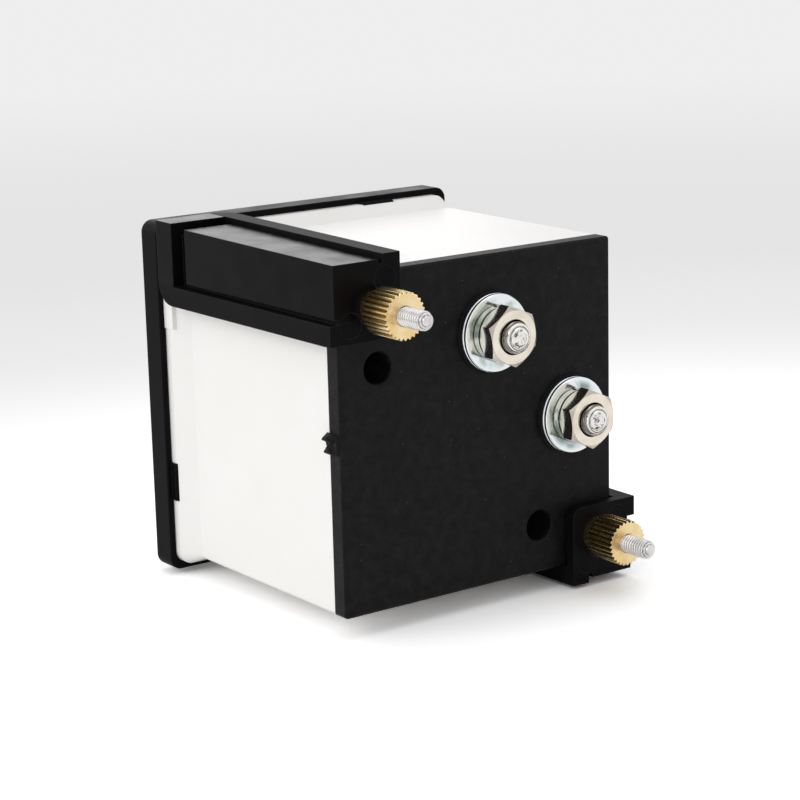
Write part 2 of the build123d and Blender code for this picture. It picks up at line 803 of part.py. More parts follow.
def build_staff_rear():
    body = rod(staff_foot_radius, winding_rear, winding_rear + staff_foot_thick, axis_x, axis_z)
    body += rod(collet_radius, winding_rear, rear_jewel_tip - pivot_end_gap, axis_x, axis_z)
    needle_end = rear_jewel_tip + jewel_cup_depth - pivot_end_gap
    return body + rod(jewel_cup_radius - pivot_gap, winding_rear, needle_end, axis_x, axis_z)


def build_pointer():
    """A hub behind the bridge, an arm bent forwards through the dial and a blade over the scale."""
    hub_front = hub_rear - pointer_thick
    x, z = axis_x, axis_z
    outline = disc(pointer_hub_radius, x, z) + strip(0, pointer_bend, pointer_half_width, 180, x, z)
    outline += strip(0, tail_length, tail_half_width, 0, x, z)
    for angle in (90, 270):
        outline += strip(0, side_arm_length, tail_half_width, angle, x, z)
    body = slab(outline - disc(collet_radius, x, z), hub_front, hub_rear)
    riser = strip(pointer_bend - pointer_thick, pointer_bend, pointer_half_width, 180, x, z)
    body += slab(riser, pointer_front, hub_rear)
    blade = Polygon((pointer_bend - pointer_thick, pointer_half_width),
                    (pointer_blade_start - pointer_blade_swell, pointer_half_width),
                    (pointer_blade_start, pointer_blade_half_width),
                    (pointer_reach, pointer_tip_half_width),
                    (pointer_reach, -pointer_tip_half_width),
                    (pointer_blade_start, -pointer_blade_half_width),
                    (pointer_blade_start - pointer_blade_swell, -pointer_half_width),
                    (pointer_bend - pointer_thick, -pointer_half_width), align=None)
    blade = Pos(x, z) * (Rot(0, 0, 180) * blade)
    return body + slab(blade, pointer_front, pointer_front + pointer_thick)


def build_weight(angle, place, length, radius):
    """A turned sleeve on one arm behind the pointer, on the far side of the staff from the blade."""
    hub_mid = hub_rear - pointer_thick / 2
    x, z = polar(place, angle, axis_x, axis_z)
    body = Pos(x, hub_mid, z) * (Rot(0, -angle, 0) * (Rot(0, 90, 0) * Cylinder(radius, length)))
    arm = strip(0, tail_length + over, tail_half_width, angle, axis_x, axis_z)
    return body - slab(arm, hub_rear - pointer_thick, hub_rear)


def spiral(start_radius, front, x, z, tab_angle):
    """A flat hairspring drawn as half rings whose radius grows by half a pitch each time."""
    outline = None
    reach = start_radius + (spring_turns + 1) * spring_step
    for half in range(2 * spring_turns):
        middle = start_radius + half * spring_step / 2
        ring = Circle(middle + spring_strip / 2) - Circle(middle - spring_strip / 2)
        side = 1 if half % 2 == 0 else -1
        shift = 0 if half % 2 == 0 else spring_step / 2
        keep = Pos(0, side * reach) * Rectangle(4 * reach, 2 * reach)
        piece = (Pos(shift, 0) * ring) & keep
        outline = piece if outline is None else outline + piece
    outline = Pos(x, z) * (Rot(0, 0, tab_angle) * outline)
    return slab(outline, front, front + spring_height)


def build_bridge_outline():
    end = ear_place_radius + ear_radius
    outline = strip(-ear_place_radius, ear_place_radius, bridge_half_width, ear_angles[0], axis_x, axis_z)
    for angle in ear_angles:
        x, z = polar(ear_place_radius, angle, axis_x, axis_z)
        outline += disc(ear_radius, x, z)
    return outline + disc(end - ear_place_radius + bridge_half_width / 2, axis_x, axis_z)


def bridge_holes():
    holes = disc(jewel_radius, axis_x, axis_z)
    for angle in ear_angles:
        x, z = polar(ear_place_radius, angle, axis_x, axis_z)
        holes += disc(bridge_screw_radius, x, z)
    return holes


def build_front_bridge():
    outline = build_bridge_outline()
    x, z = polar(ear_place_radius, ear_angles[1], axis_x, axis_z)
    outline += span(x - bridge_lug_length, x, z - bridge_lug_half_width, z + bridge_lug_half_width)
    return slab(outline - bridge_holes(), bridge_front, bridge_rear)


def build_rear_bridge():
    outline = build_bridge_outline()
    outline += strip(0, rear_arm_length, rear_arm_half_width, lug_angles[0], axis_x, axis_z)
    outline += tab(0, spring_end + spring_lug_thick / 2, spring_lug_width, lug_angles[1], axis_x, axis_z)
    body = slab(outline - bridge_holes(), rear_bridge_front, rear_bridge_rear)
    return body + slab(spring_lug(lug_angles[1]), rear_spring_front, rear_bridge_front)


def spring_lug(angle):
    """The block that meets the outer end of a hairspring."""
    return tab(spring_end - spring_lug_thick / 2, spring_end + spring_lug_thick / 2, spring_lug_width, angle,
               axis_x, axis_z)


def build_jewel_front():
    """A slotted bearing screw with a blind cup for the staff's needle."""
    head_front = bridge_front - jewel_head_lift - jewel_head_thick
    body = slotted_screw(jewel_head_radius, jewel_head_thick, jewel_radius, head_front, jewel_tip, axis_x, axis_z)
    return body - rod(jewel_cup_radius, jewel_tip - jewel_cup_depth, jewel_tip + over, axis_x, axis_z)


def build_jewel_rear():
    body = rod(jewel_radius, rear_jewel_tip, rear_bridge_rear, axis_x, axis_z)
    head_rear = rear_bridge_rear + jewel_head_thick
    body += rod(jewel_head_radius, rear_bridge_rear, head_rear, axis_x, axis_z)
    slot = Box(2 * jewel_head_radius + over, 2 * screw_slot_depth, screw_slot_width)
    body -= Pos(axis_x, head_rear, axis_z) * slot
    return body - rod(jewel_cup_radius, rear_jewel_tip - over, rear_jewel_tip + jewel_cup_depth, axis_x, axis_z)


def build_spacer(angle, front, rear):
    x, z = polar(ear_place_radius, angle, axis_x, axis_z)
    return slab(disc(spacer_radius, x, z) - disc(bridge_screw_radius, x, z), front, rear)


def build_bridge_screw(angle):
    x, z = polar(ear_place_radius, angle, axis_x, axis_z)
    head_front = bridge_front - bridge_screw_head_thick
    return slotted_screw(bridge_screw_head_radius, bridge_screw_head_thick, bridge_screw_radius, head_front,
                         frame_front + bridge_screw_grip, x, z)


def build_zero_screw():
    """A slotted adjuster that turns in the window and mask, with a pin off its axis at the rear."""
    x, z = zero_x, zero_z
    head_front = window_front - zero_head_thick
    body = rod(zero_head_radius, head_front, window_front - zero_collar_gap, x, z)
    body += rod(zero_shank_radius, head_front, zero_shank_end, x, z)
    collar_front = case_front + zero_collar_gap
    body += rod(zero_collar_radius, collar_front, collar_front + zero_collar_thick, x, z)
    slot = Box(2 * zero_head_radius + over, 2 * zero_slot_depth, zero_slot_width)
    body -= Pos(x, head_front, z) * slot
    pin_x, pin_z = polar(-zero_pin_distance, zero_angle, x, z)
    return body + rod(zero_pin_radius, zero_shank_end, zero_shank_end + zero_pin_length, pin_x, pin_z)


def build_zero_lever():
    """A ring on the front bearing screw, with a forked arm for the adjuster's pin and a lug for the spring."""
    x, z = axis_x, axis_z
    lever_rear = lever_front + lever_thick
    slot_middle = zero_distance - zero_pin_distance
    arm_end = slot_middle + lever_slot_half_length + lever_tip_margin
    outline = disc(lever_ring_radius, x, z)
    outline += strip(0, arm_end, lever_half_width, zero_angle, x, z)
    outline += tab(0, spring_end + spring_lug_thick / 2, spring_lug_width, lug_angles[0], x, z)
    outline -= disc(jewel_radius + lever_bore_gap, x, z)
    outline -= strip(slot_middle - lever_slot_half_length, arm_end + over, zero_pin_radius + lever_slot_gap,
                     zero_angle, x, z)
    body = slab(outline, lever_front, lever_rear)
    return body + slab(spring_lug(lug_angles[0]), lever_front, front_spring_front + spring_height)


def build_resistor():
    """A dog-bone resistor in line with its two leads."""
    x, z = resistor_place
    rear = resistor_front + resistor_length
    end = resistor_length * resistor_end_share
    body = rod(resistor_waist_radius, resistor_front, rear, x, z)
    for front in (resistor_front, rear - end):
        cap = rod(resistor_radius, front, front + end, x, z)
        body += chamfer(cap.edges().filter_by(GeomType.CIRCLE), resistor_end_edge)
    body += rod(resistor_lead_radius, rear, tag_front, x, z)
    arm_x, arm_z = polar(rear_arm_length - rear_arm_half_width, lug_angles[0], axis_x, axis_z)
    route = [(x, resistor_front, z), (x, resistor_lead_turn, z), (arm_x, resistor_lead_low, arm_z),
             (arm_x, rear_bridge_rear, arm_z)]
    start = Plane(origin=route[0], z_dir=(0, -1, 0))
    lead = sweep(start * Circle(resistor_lead_radius), path=Polyline(*route), transition=Transition.RIGHT)
    return body + lead


def tube(route, radius, bend):
    """A round wire along a route of straight runs with rounded corners."""
    path = FilletPolyline(*route, radius=bend)
    start = Plane(origin=path @ 0, z_dir=path % 0)
    return sweep(start * Circle(radius), path=path)


def build_wire():
    x, z = terminal_places["2"]
    start = (x, tag_front, wire_points[0][2])
    lug_x, lug_z = polar(ear_place_radius, ear_angles[1], axis_x, axis_z)
    end_x = lug_x - bridge_lug_length + bridge_lug_half_width
    route = [start] + list(wire_points[:2]) + [(end_x, wire_points[2][1], lug_z), (end_x, bridge_rear, lug_z)]
    return tube(route, wire_radius, wire_bend)


def build_all():
    parts = {
        "bezel": build_bezel(),
        "window": build_window(),
        "case": build_case(),
        "rear_plate": build_rear_plate(),
        "movement_frame": build_frame(),
        "dial": build_dial(),
        "dial_mask": build_mask(),
        "yoke": build_yoke(),
        "core_magnet": build_core(),
        "coil_former": build_former(),
        "coil_winding": build_winding(),
        "front_staff": build_staff_front(),
        "rear_staff": build_staff_rear(),
        "pointer": build_pointer(),
        "front_bridge": build_front_bridge(),
        "rear_bridge": build_rear_bridge(),
        "front_bearing": build_jewel_front(),
        "rear_bearing": build_jewel_rear(),
        "zero_screw": build_zero_screw(),
        "zero_lever": build_zero_lever(),
        "series_resistor": build_resistor(),
        "lead_wire": build_wire(),
    }
    for index, place in enumerate(post_places()[:2], 1):
        parts[f"dial_screw_{index}"] = build_dial_screw(place)
    parts["pointer_stop_1"] = build_stop(180, -1)
    parts["pointer_stop_2"] = build_stop(90, 1)
    parts["front_hairspring"] = spiral(spring_start, front_spring_front, axis_x, axis_z, lug_angles[0])
    parts["rear_hairspring"] = spiral(spring_start, rear_spring_front, axis_x, axis_z, lug_angles[1])
    parts["tail_weight"] = build_weight(0, weight_place, weight_length, weight_radius)
    for index, angle in enumerate((90, 270), 1):
        parts[f"side_weight_{index}"] = build_weight(angle, side_weight_place, side_weight_length, side_weight_radius)
    for index, angle in enumerate(lug_angles, 1):
        parts[f"core_lug_{index}"] = build_core_lug(angle)
    for index, angle in enumerate(ear_angles, 1):
        parts[f"bridge_screw_{index}"] = build_bridge_screw(angle)
        parts[f"front_spacer_{index}"] = build_spacer(angle, bridge_rear, core_front)
        parts[f"rear_spacer_{index}"] = build_spacer(angle, core_rear, rear_bridge_front)
    for key in terminal_places:
        parts[f"terminal_stud_{key}"] = build_terminal_stud(key)
        parts[f"solder_tag_{key}"] = build_solder_tag(key)
        parts[f"spring_washer_{key}"] = build_spring_washer(key)
        parts[f"terminal_nut_{key}"] = build_hex_nut(key)
        for layer, word in enumerate(("inner", "outer")):
            parts[f"{word}_washer_{key}"] = build_flat_washer(key, layer)
    for key in case_screw_places:
        parts[f"case_screw_{key}"] = build_case_screw(key)
    bracket = build_clamp_bracket()
    for index, sign in enumerate((1, -1), 1):
        parts[f"clamp_bracket_{index}"] = turned(bracket, index * 2 - 2)
        parts[f"clamp_stud_{index}"] = build_clamp_stud(sign)
        parts[f"clamp_nut_{index}"] = build_clamp_nut(sign)
    return parts


os.makedirs("parts", exist_ok=True)
for name, solid in build_all().items():
    export_step(solid, f"parts/{name}.step")
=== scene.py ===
"""Finishes, threads, nuts, dial print, floor, lamps and camera for the square panel meter."""

import math

import bpy
from mathutils import Matrix, Vector


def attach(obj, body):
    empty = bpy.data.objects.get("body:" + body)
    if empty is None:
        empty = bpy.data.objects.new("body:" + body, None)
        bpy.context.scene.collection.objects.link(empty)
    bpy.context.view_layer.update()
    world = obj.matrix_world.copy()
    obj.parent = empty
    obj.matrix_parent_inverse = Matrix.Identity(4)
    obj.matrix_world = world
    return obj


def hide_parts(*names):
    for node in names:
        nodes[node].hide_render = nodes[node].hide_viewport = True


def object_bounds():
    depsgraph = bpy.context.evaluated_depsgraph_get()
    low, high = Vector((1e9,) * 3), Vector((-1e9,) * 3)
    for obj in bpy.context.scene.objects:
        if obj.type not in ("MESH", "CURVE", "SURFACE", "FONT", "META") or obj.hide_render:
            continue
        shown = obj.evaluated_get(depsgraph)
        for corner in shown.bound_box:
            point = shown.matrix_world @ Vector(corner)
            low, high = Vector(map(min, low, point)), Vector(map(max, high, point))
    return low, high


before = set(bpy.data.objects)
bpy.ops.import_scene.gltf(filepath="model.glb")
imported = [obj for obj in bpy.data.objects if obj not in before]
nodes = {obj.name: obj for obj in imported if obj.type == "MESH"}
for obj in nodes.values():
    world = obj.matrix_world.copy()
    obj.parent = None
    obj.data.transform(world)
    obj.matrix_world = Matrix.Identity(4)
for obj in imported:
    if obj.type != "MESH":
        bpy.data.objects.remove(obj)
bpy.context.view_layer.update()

MM = 0.001

# Places and sizes shared with the solids, in millimetres; a place across the meter is its X and Z
PIVOT = (11.996, -11.996)
TERMINALS = {"1": (-1.75, 11.75), "2": (-14.6, -1.0)}
CLAMP_STUDS = {"1": (17.55, 17.55), "2": (-17.55, -17.55)}
CASE_HALF = 21.75
CLAMP_RIM = 16.5
DIAL_FRONT = 2.6
PLATE_REAR = 38.7
STUD_END = 51.6
STUD_INSIDE = 6.0

# Hexagon nuts: across flats, front and rear face, first corner's angle, radius of the painted shade ring
# round the thread
HEX_ACROSS = 7.0
HEX_SEAT = 41.2
HEX_FACE = 43.6
HEX_TURNS = {"1": 22.5, "2": 25.5}
THREAD_SHADE_RING = 2.32

# Knurled nuts: crest radius, groove depth and teeth, then front face, end of the collar and rear face
KNURL_RADIUS = 3.0
KNURL_DEPTH = 0.28
KNURL_TEETH = 28
NUT_FRONT = 40.73
NUT_COLLAR_END = 42.03
NUT_REAR = 47.03


def linear(code):
    """An sRGB hex colour as linear red, green, blue and alpha."""
    levels = [int(code[i:i + 2], 16) / 255 for i in (1, 3, 5)]
    return tuple(c / 12.92 if c <= 0.04045 else ((c + 0.055) / 1.055) ** 2.4 for c in levels) + (1.0,)


def grey(level):
    return (level, level, level, 1.0)


def per_mm(size):
    """The scale of a pattern whose feature is this many millimetres wide."""
    return 1 / (size * MM)


def bands_mm(period):
    """The scale of a wave whose bands lie this many millimetres apart; the node turns 20 radians a unit."""
    return math.pi / (10 * period * MM)


def add(tree, kind, settings=None, values=None, links=None, stops=()):
    """A node with its settings, its socket values, its incoming links and, on a ramp, its stops."""
    node = tree.nodes.new(kind)
    for name, value in (settings or {}).items():
        setattr(node, name, value)
    for socket, value in (values or {}).items():
        node.inputs[socket].default_value = value
    for socket, source in (links or {}).items():
        tree.links.new(source, node.inputs[socket])
    if stops:
        elements = node.color_ramp.elements
        while len(elements) < len(stops):
            elements.new(0.5)
        for element, (position, colour) in zip(elements, stops):
            element.position = position
            element.color = colour
    return node


def blank(name):
    """A new material, its empty tree and the place on the piece, in metres."""
    made = bpy.data.materials.new(name)
    made.use_nodes = True
    tree = made.node_tree
    tree.nodes.clear()
    return made, tree, add(tree, "ShaderNodeTexCoord").outputs["Object"]


def about_axis(tree, place, centre):
    """The place seen from an axis along Y, flattened along that axis, and its distance from it."""
    moved = add(tree, "ShaderNodeMapping",
                values={"Location": (-centre[0] * MM, 0.0, -centre[1] * MM), "Scale": (1.0, 0.0, 1.0)},
                links={"Vector": place}).outputs["Vector"]
    out = add(tree, "ShaderNodeVectorMath", {"operation": "LENGTH"}, links={0: moved})
    return moved, out.outputs["Value"]


def textured_black_abs():
    """Black ABS off a spark-eroded tool: a dull grain, drawn as coarse as 0.3 mm so that it shows, faint
    clouds and a few pale specks of dust."""
    grain_width, cloud_width, speck_gap = 0.3, 1.6, 2.2
    made, tree, place = blank("textured_black_abs")
    eased = add(tree, "ShaderNodeBevel", {"samples": 4}, {"Radius": 0.2 * MM})
    grain = add(tree, "ShaderNodeTexNoise",
                values={"Scale": per_mm(grain_width), "Detail": 4.0, "Roughness": 0.65},
                links={"Vector": place})
    cloud = add(tree, "ShaderNodeTexNoise",
                values={"Scale": per_mm(cloud_width), "Detail": 6.0, "Roughness": 0.7},
                links={"Vector": place})
    shade = add(tree, "ShaderNodeValToRGB", links={"Fac": cloud.outputs["Fac"]},
                stops=[(0.35, linear("#0b0b0c")), (0.68, linear("#1b1a1d"))])
    specks = add(tree, "ShaderNodeTexVoronoi", values={"Scale": per_mm(speck_gap)}, links={"Vector": place})
    dust = add(tree, "ShaderNodeValToRGB", links={"Fac": specks.outputs["Distance"]},
               stops=[(0.03, grey(0.35)), (0.06, grey(0.0))])
    mixed = add(tree, "ShaderNodeMix", {"data_type": "RGBA"}, {"B": linear("#646463")},
                {"Factor": dust.outputs["Color"], "A": shade.outputs["Color"]})
    rough = add(tree, "ShaderNodeValToRGB", links={"Fac": grain.outputs["Fac"]},
                stops=[(0.3, grey(0.4)), (0.7, grey(0.56))])
    bump = add(tree, "ShaderNodeBump", values={"Strength": 0.8, "Distance": 0.03 * MM},
               links={"Height": grain.outputs["Fac"], "Normal": eased.outputs["Normal"]})
    shader = add(tree, "ShaderNodeBsdfPrincipled", values={"IOR": 1.53, "Specular IOR Level": 0.11},
                 links={"Base Color": mixed.outputs["Result"], "Roughness": rough.outputs["Color"],
                        "Normal": bump.outputs["Normal"]})
    add(tree, "ShaderNodeOutputMaterial", links={"Surface": shader.outputs["BSDF"]})
    return made


def black_plastic(tree, place, smooth, dull, sheen, rim=None):
    """What both smooth black mouldings share: slow sink waves, a fine grain drawn as coarse as 0.15 mm, and a
    paler line along the edges that is a painted highlight. Where rim is 1 the surface is duller still."""
    wave_width, grain_width, rim_roughness = 4.0, 0.15, 0.5
    wave = add(tree, "ShaderNodeTexNoise", values={"Scale": per_mm(wave_width), "Detail": 2.0},
               links={"Vector": place})
    grain = add(tree, "ShaderNodeTexNoise", values={"Scale": per_mm(grain_width), "Detail": 2.0},
                links={"Vector": place})
    rough = add(tree, "ShaderNodeValToRGB", links={"Fac": wave.outputs["Fac"]},
                stops=[(0.35, grey(smooth)), (0.7, grey(dull))]).outputs["Color"]
    if rim is not None:
        rough = add(tree, "ShaderNodeMix", {"data_type": "RGBA"}, {"B": grey(rim_roughness)},
                    {"Factor": rim, "A": rough}).outputs["Result"]
    eased = add(tree, "ShaderNodeBevel", {"samples": 4}, {"Radius": 0.14 * MM}).outputs["Normal"]
    flat = add(tree, "ShaderNodeNewGeometry").outputs["True Normal"]
    lean = add(tree, "ShaderNodeVectorMath", {"operation": "DOT_PRODUCT"}, links={0: eased, 1: flat})
    # Painted highlight: near an edge, where the eased normal leans off the true one, the colour turns paler
    edge = add(tree, "ShaderNodeMapRange", values={"From Min": 0.99, "From Max": 0.8, "To Max": 0.8},
               links={"Value": lean.outputs["Value"]})
    fine = add(tree, "ShaderNodeBump", values={"Strength": 0.15, "Distance": 0.01 * MM},
               links={"Height": grain.outputs["Fac"], "Normal": eased})
    bump = add(tree, "ShaderNodeBump", values={"Strength": 0.14, "Distance": 0.1 * MM},
               links={"Height": wave.outputs["Fac"], "Normal": fine.outputs["Normal"]})
    tone = add(tree, "ShaderNodeValToRGB", links={"Fac": wave.outputs["Fac"]},
               stops=[(0.3, linear("#0c0b0d")), (0.7, linear("#121113"))])
    # Painted highlight: the edges are mixed towards a paler grey
    shade = add(tree, "ShaderNodeMix", {"data_type": "RGBA"}, {"B": linear("#3c3b3f")},
                {"Factor": edge.outputs["Result"], "A": tone.outputs["Color"]})
    shader = add(tree, "ShaderNodeBsdfPrincipled", values={"IOR": 1.53, "Specular IOR Level": sheen},
                 links={"Base Color": shade.outputs["Result"], "Roughness": rough,
                        "Normal": bump.outputs["Normal"]})
    add(tree, "ShaderNodeOutputMaterial", links={"Surface": shader.outputs["BSDF"]})


def polished_black_abs():
    """Black ABS off a plain polished tool: smooth faces that mirror the room softly at a low angle."""
    made, tree, place = blank("polished_black_abs")
    black_plastic(tree, place, smooth=0.3, dull=0.42, sheen=0.03)
    return made


def clamp_black_abs():
    """Black ABS clamps: the raised middle is polished, the rim round it is duller."""
    made, tree, place = blank("clamp_black_abs")
    axes = add(tree, "ShaderNodeSeparateXYZ", links={0: place})
    inside = []
    for axis in "XZ":
        size = add(tree, "ShaderNodeMath", {"operation": "ABSOLUTE"}, links={0: axes.outputs[axis]})
        inside.append(add(tree, "ShaderNodeMath", {"operation": "LESS_THAN"}, {1: CLAMP_RIM * MM},
                          {0: size.outputs[0]}).outputs[0])
    rim = add(tree, "ShaderNodeMath", {"operation": "MAXIMUM"}, links={0: inside[0], 1: inside[1]})
    black_plastic(tree, place, smooth=0.16, dull=0.26, sheen=0.05, rim=rim.outputs[0])
    return made


def white_abs():
    """Glossy warm white ABS with faint flow shading, a little depth to its white, and a fine grain drawn as
    coarse as 0.3 mm."""
    flow_width, grain_width = 14.0, 0.3
    made, tree, place = blank("white_abs")
    flow = add(tree, "ShaderNodeTexNoise",
               values={"Scale": per_mm(flow_width), "Detail": 2.0, "Distortion": 0.6},
               links={"Vector": place})
    shade = add(tree, "ShaderNodeValToRGB", links={"Fac": flow.outputs["Fac"]},
                stops=[(0.3, linear("#f8f6f2")), (0.7, linear("#fbf9f6"))])
    grain = add(tree, "ShaderNodeTexNoise", values={"Scale": per_mm(grain_width), "Detail": 2.0},
                links={"Vector": place})
    bump = add(tree, "ShaderNodeBump", values={"Strength": 0.08, "Distance": 0.02 * MM},
               links={"Height": grain.outputs["Fac"]})
    shader = add(tree, "ShaderNodeBsdfPrincipled",
                 values={"IOR": 1.53, "Roughness": 0.33, "Specular IOR Level": 0.3, "Subsurface Weight": 0.15,
                         "Subsurface Radius": (0.9 * MM, 0.8 * MM, 0.7 * MM), "Subsurface Scale": 1.0},
                 links={"Base Color": shade.outputs["Color"], "Normal": bump.outputs["Normal"]})
    add(tree, "ShaderNodeOutputMaterial", links={"Surface": shader.outputs["BSDF"]})
    return made


def clear_acrylic():
    """Clear polished acrylic: colourless, with the faintest haze in patches."""
    haze_width = 6.0
    made, tree, place = blank("clear_acrylic")
    haze = add(tree, "ShaderNodeTexNoise", values={"Scale": per_mm(haze_width), "Detail": 2.0},
               links={"Vector": place})
    rough = add(tree, "ShaderNodeValToRGB", links={"Fac": haze.outputs["Fac"]},
                stops=[(0.4, grey(0.01)), (0.8, grey(0.04))])
    shader = add(tree, "ShaderNodeBsdfPrincipled",
                 values={"Base Color": linear("#fbfdfc"), "IOR": 1.49, "Transmission Weight": 1.0,
                         "Specular IOR Level": 0.3},
                 links={"Roughness": rough.outputs["Color"]})
    add(tree, "ShaderNodeOutputMaterial", links={"Surface": shader.outputs["BSDF"]})
    return made


def plated(name, low, high, roughness, patch):
    """A metal whose colour and gloss drift over patches of the given size. Its tool marks are drawn as coarse
    as 0.2 mm so that they show."""
    mark_width = 0.2
    made, tree, place = blank(name)
    drift = add(tree, "ShaderNodeTexNoise", values={"Scale": per_mm(patch), "Detail": 3.0},
                links={"Vector": place})
    shade = add(tree, "ShaderNodeValToRGB", links={"Fac": drift.outputs["Fac"]},
                stops=[(0.35, linear(low)), (0.68, linear(high))])
    rough = add(tree, "ShaderNodeValToRGB", links={"Fac": drift.outputs["Fac"]},
                stops=[(0.3, grey(roughness * 0.8)), (0.7, grey(roughness * 1.3))])
    marks = add(tree, "ShaderNodeTexNoise", values={"Scale": per_mm(mark_width), "Detail": 2.0},
                links={"Vector": place})
    bump = add(tree, "ShaderNodeBump", values={"Strength": 0.2, "Distance": 0.01 * MM},
               links={"Height": marks.outputs["Fac"]})
    shader = add(tree, "ShaderNodeBsdfPrincipled", values={"Metallic": 1.0},
                 links={"Base Color": shade.outputs["Color"], "Roughness": rough.outputs["Color"],
                        "Normal": bump.outputs["Normal"]})
    add(tree, "ShaderNodeOutputMaterial", links={"Surface": shader.outputs["BSDF"]})
    return made


def turned(name, centre, low, high, roughness, feed, depth, groove=None):
    """Metal turned on a lathe about an axis along Y: rings on the faces, drawn coarser than a real feed of
    0.1 mm so that they show, and inside the radius given as groove a dark painted shade for the gap."""
    patch_width, shade_ring_width = 2.2, 0.07
    made, tree, place = blank(name)
    moved, out = about_axis(tree, place, centre)
    rings = add(tree, "ShaderNodeTexWave", {"wave_type": "RINGS", "rings_direction": "SPHERICAL"},
                {"Scale": bands_mm(feed), "Distortion": 0.4, "Detail": 1.0}, {"Vector": moved})
    drift = add(tree, "ShaderNodeTexNoise", values={"Scale": per_mm(patch_width), "Detail": 3.0},
                links={"Vector": place})
    shade = add(tree, "ShaderNodeValToRGB", links={"Fac": drift.outputs["Fac"]},
                stops=[(0.3, linear(low)), (0.7, linear(high))]).outputs["Color"]
    # Painted shade: inside the groove radius the colour goes dark, standing in for the shadow of the gap
    # round the thread
    if groove is not None:
        ring = add(tree, "ShaderNodeMapRange", {"interpolation_type": "SMOOTHSTEP"},
                   {"From Min": (groove - shade_ring_width) * MM, "From Max": groove * MM, "To Min": 1.0,
                    "To Max": 0.0}, {"Value": out})
        shade = add(tree, "ShaderNodeMix", {"data_type": "RGBA"}, {"B": linear("#2a2520")},
                    {"Factor": ring.outputs["Result"], "A": shade}).outputs["Result"]
    rough = add(tree, "ShaderNodeValToRGB", links={"Fac": drift.outputs["Fac"]},
                stops=[(0.3, grey(roughness * 0.85)), (0.7, grey(roughness * 1.25))])
    bump = add(tree, "ShaderNodeBump", values={"Strength": 0.35, "Distance": depth * MM},
               links={"Height": rings.outputs["Fac"]})
    shader = add(tree, "ShaderNodeBsdfPrincipled", values={"Metallic": 1.0},
                 links={"Base Color": shade, "Roughness": rough.outputs["Color"],
                        "Normal": bump.outputs["Normal"]})
    add(tree, "ShaderNodeOutputMaterial", links={"Surface": shader.outputs["BSDF"]})
    return made


def zinc_washer(name, centre):
    """Stamped washers in blue zinc plate: a pale rim that is a painted highlight, and cloudy darker patches
    towards the bore that are painted reflections.
    """
    cloud_width, highlight_start, highlight_full = 3.2, 3.9, 5.0
    made, tree, place = blank(name)
    out = about_axis(tree, place, centre)[1]
    # Painted highlight: towards the outer rim the colour turns near white
    rim = add(tree, "ShaderNodeMapRange", {"interpolation_type": "SMOOTHSTEP"},
              {"From Min": highlight_start * MM, "From Max": highlight_full * MM}, {"Value": out})
    cloud = add(tree, "ShaderNodeTexNoise",
                values={"Scale": per_mm(cloud_width), "Detail": 2.0, "Distortion": 0.8},
                links={"Vector": place})
    # Painted reflection: cloudy patches that run down to a dark grey-green
    patch = add(tree, "ShaderNodeValToRGB", links={"Fac": cloud.outputs["Fac"]},
                stops=[(0.38, linear("#8d9b98")), (0.5, linear("#cbd8d8")), (0.6, linear("#eef3f5"))])
    shade = add(tree, "ShaderNodeMix", {"data_type": "RGBA"}, {"B": linear("#f2f7f9")},
                {"Factor": rim.outputs["Result"], "A": patch.outputs["Color"]})
    bump = add(tree, "ShaderNodeBump", values={"Strength": 0.5, "Distance": 0.08 * MM},
               links={"Height": cloud.outputs["Fac"]})
    shader = add(tree, "ShaderNodeBsdfPrincipled", values={"Metallic": 1.0, "Roughness": 0.17},
                 links={"Base Color": shade.outputs["Result"], "Normal": bump.outputs["Normal"]})
    add(tree, "ShaderNodeOutputMaterial", links={"Surface": shader.outputs["BSDF"]})
    return made


def cut_stud_end(name, centre):
    """A plated stud end whose thread was cut over its dome: it leaves arcs near the rim and wavering marks in
    the middle, drawn as bumps and in painted shade, dark in the cuts and pale between them."""
    arc_gap, mark_width, arcs_start, arcs_full = 0.5, 1.1, 0.8, 1.5
    made, tree, place = blank(name)
    moved, out = about_axis(tree, place, centre)
    arcs = add(tree, "ShaderNodeTexWave", {"wave_type": "RINGS", "rings_direction": "SPHERICAL"},
               {"Scale": bands_mm(arc_gap), "Distortion": 3.0, "Detail": 2.0, "Detail Scale": 0.5},
               {"Vector": moved})
    marks = add(tree, "ShaderNodeTexNoise",
                values={"Scale": per_mm(mark_width), "Detail": 3.0, "Distortion": 2.2},
                links={"Vector": place})
    spread = add(tree, "ShaderNodeMapRange", values={"From Min": 0.38, "From Max": 0.62},
                 links={"Value": marks.outputs["Fac"]})
    rim = add(tree, "ShaderNodeMapRange", {"interpolation_type": "SMOOTHSTEP"},
              {"From Min": arcs_start * MM, "From Max": arcs_full * MM}, {"Value": out})
    cut = add(tree, "ShaderNodeMix", {"data_type": "FLOAT"},
              links={0: rim.outputs["Result"], 2: spread.outputs["Result"],
                     3: arcs.outputs["Fac"]}).outputs[0]
    # Painted shade: the cuts are coloured dark grey, the plate between them near white
    shade = add(tree, "ShaderNodeValToRGB", links={"Fac": cut},
                stops=[(0.0, linear("#57524c")), (0.42, linear("#f3f1ec"))])
    bump = add(tree, "ShaderNodeBump", values={"Strength": 0.6, "Distance": 0.07 * MM},
               links={"Height": cut})
    shader = add(tree, "ShaderNodeBsdfPrincipled", values={"Metallic": 1.0, "Roughness": 0.14},
                 links={"Base Color": shade.outputs["Color"], "Normal": bump.outputs["Normal"]})
    add(tree, "ShaderNodeOutputMaterial", links={"Surface": shader.outputs["BSDF"]})
    return made


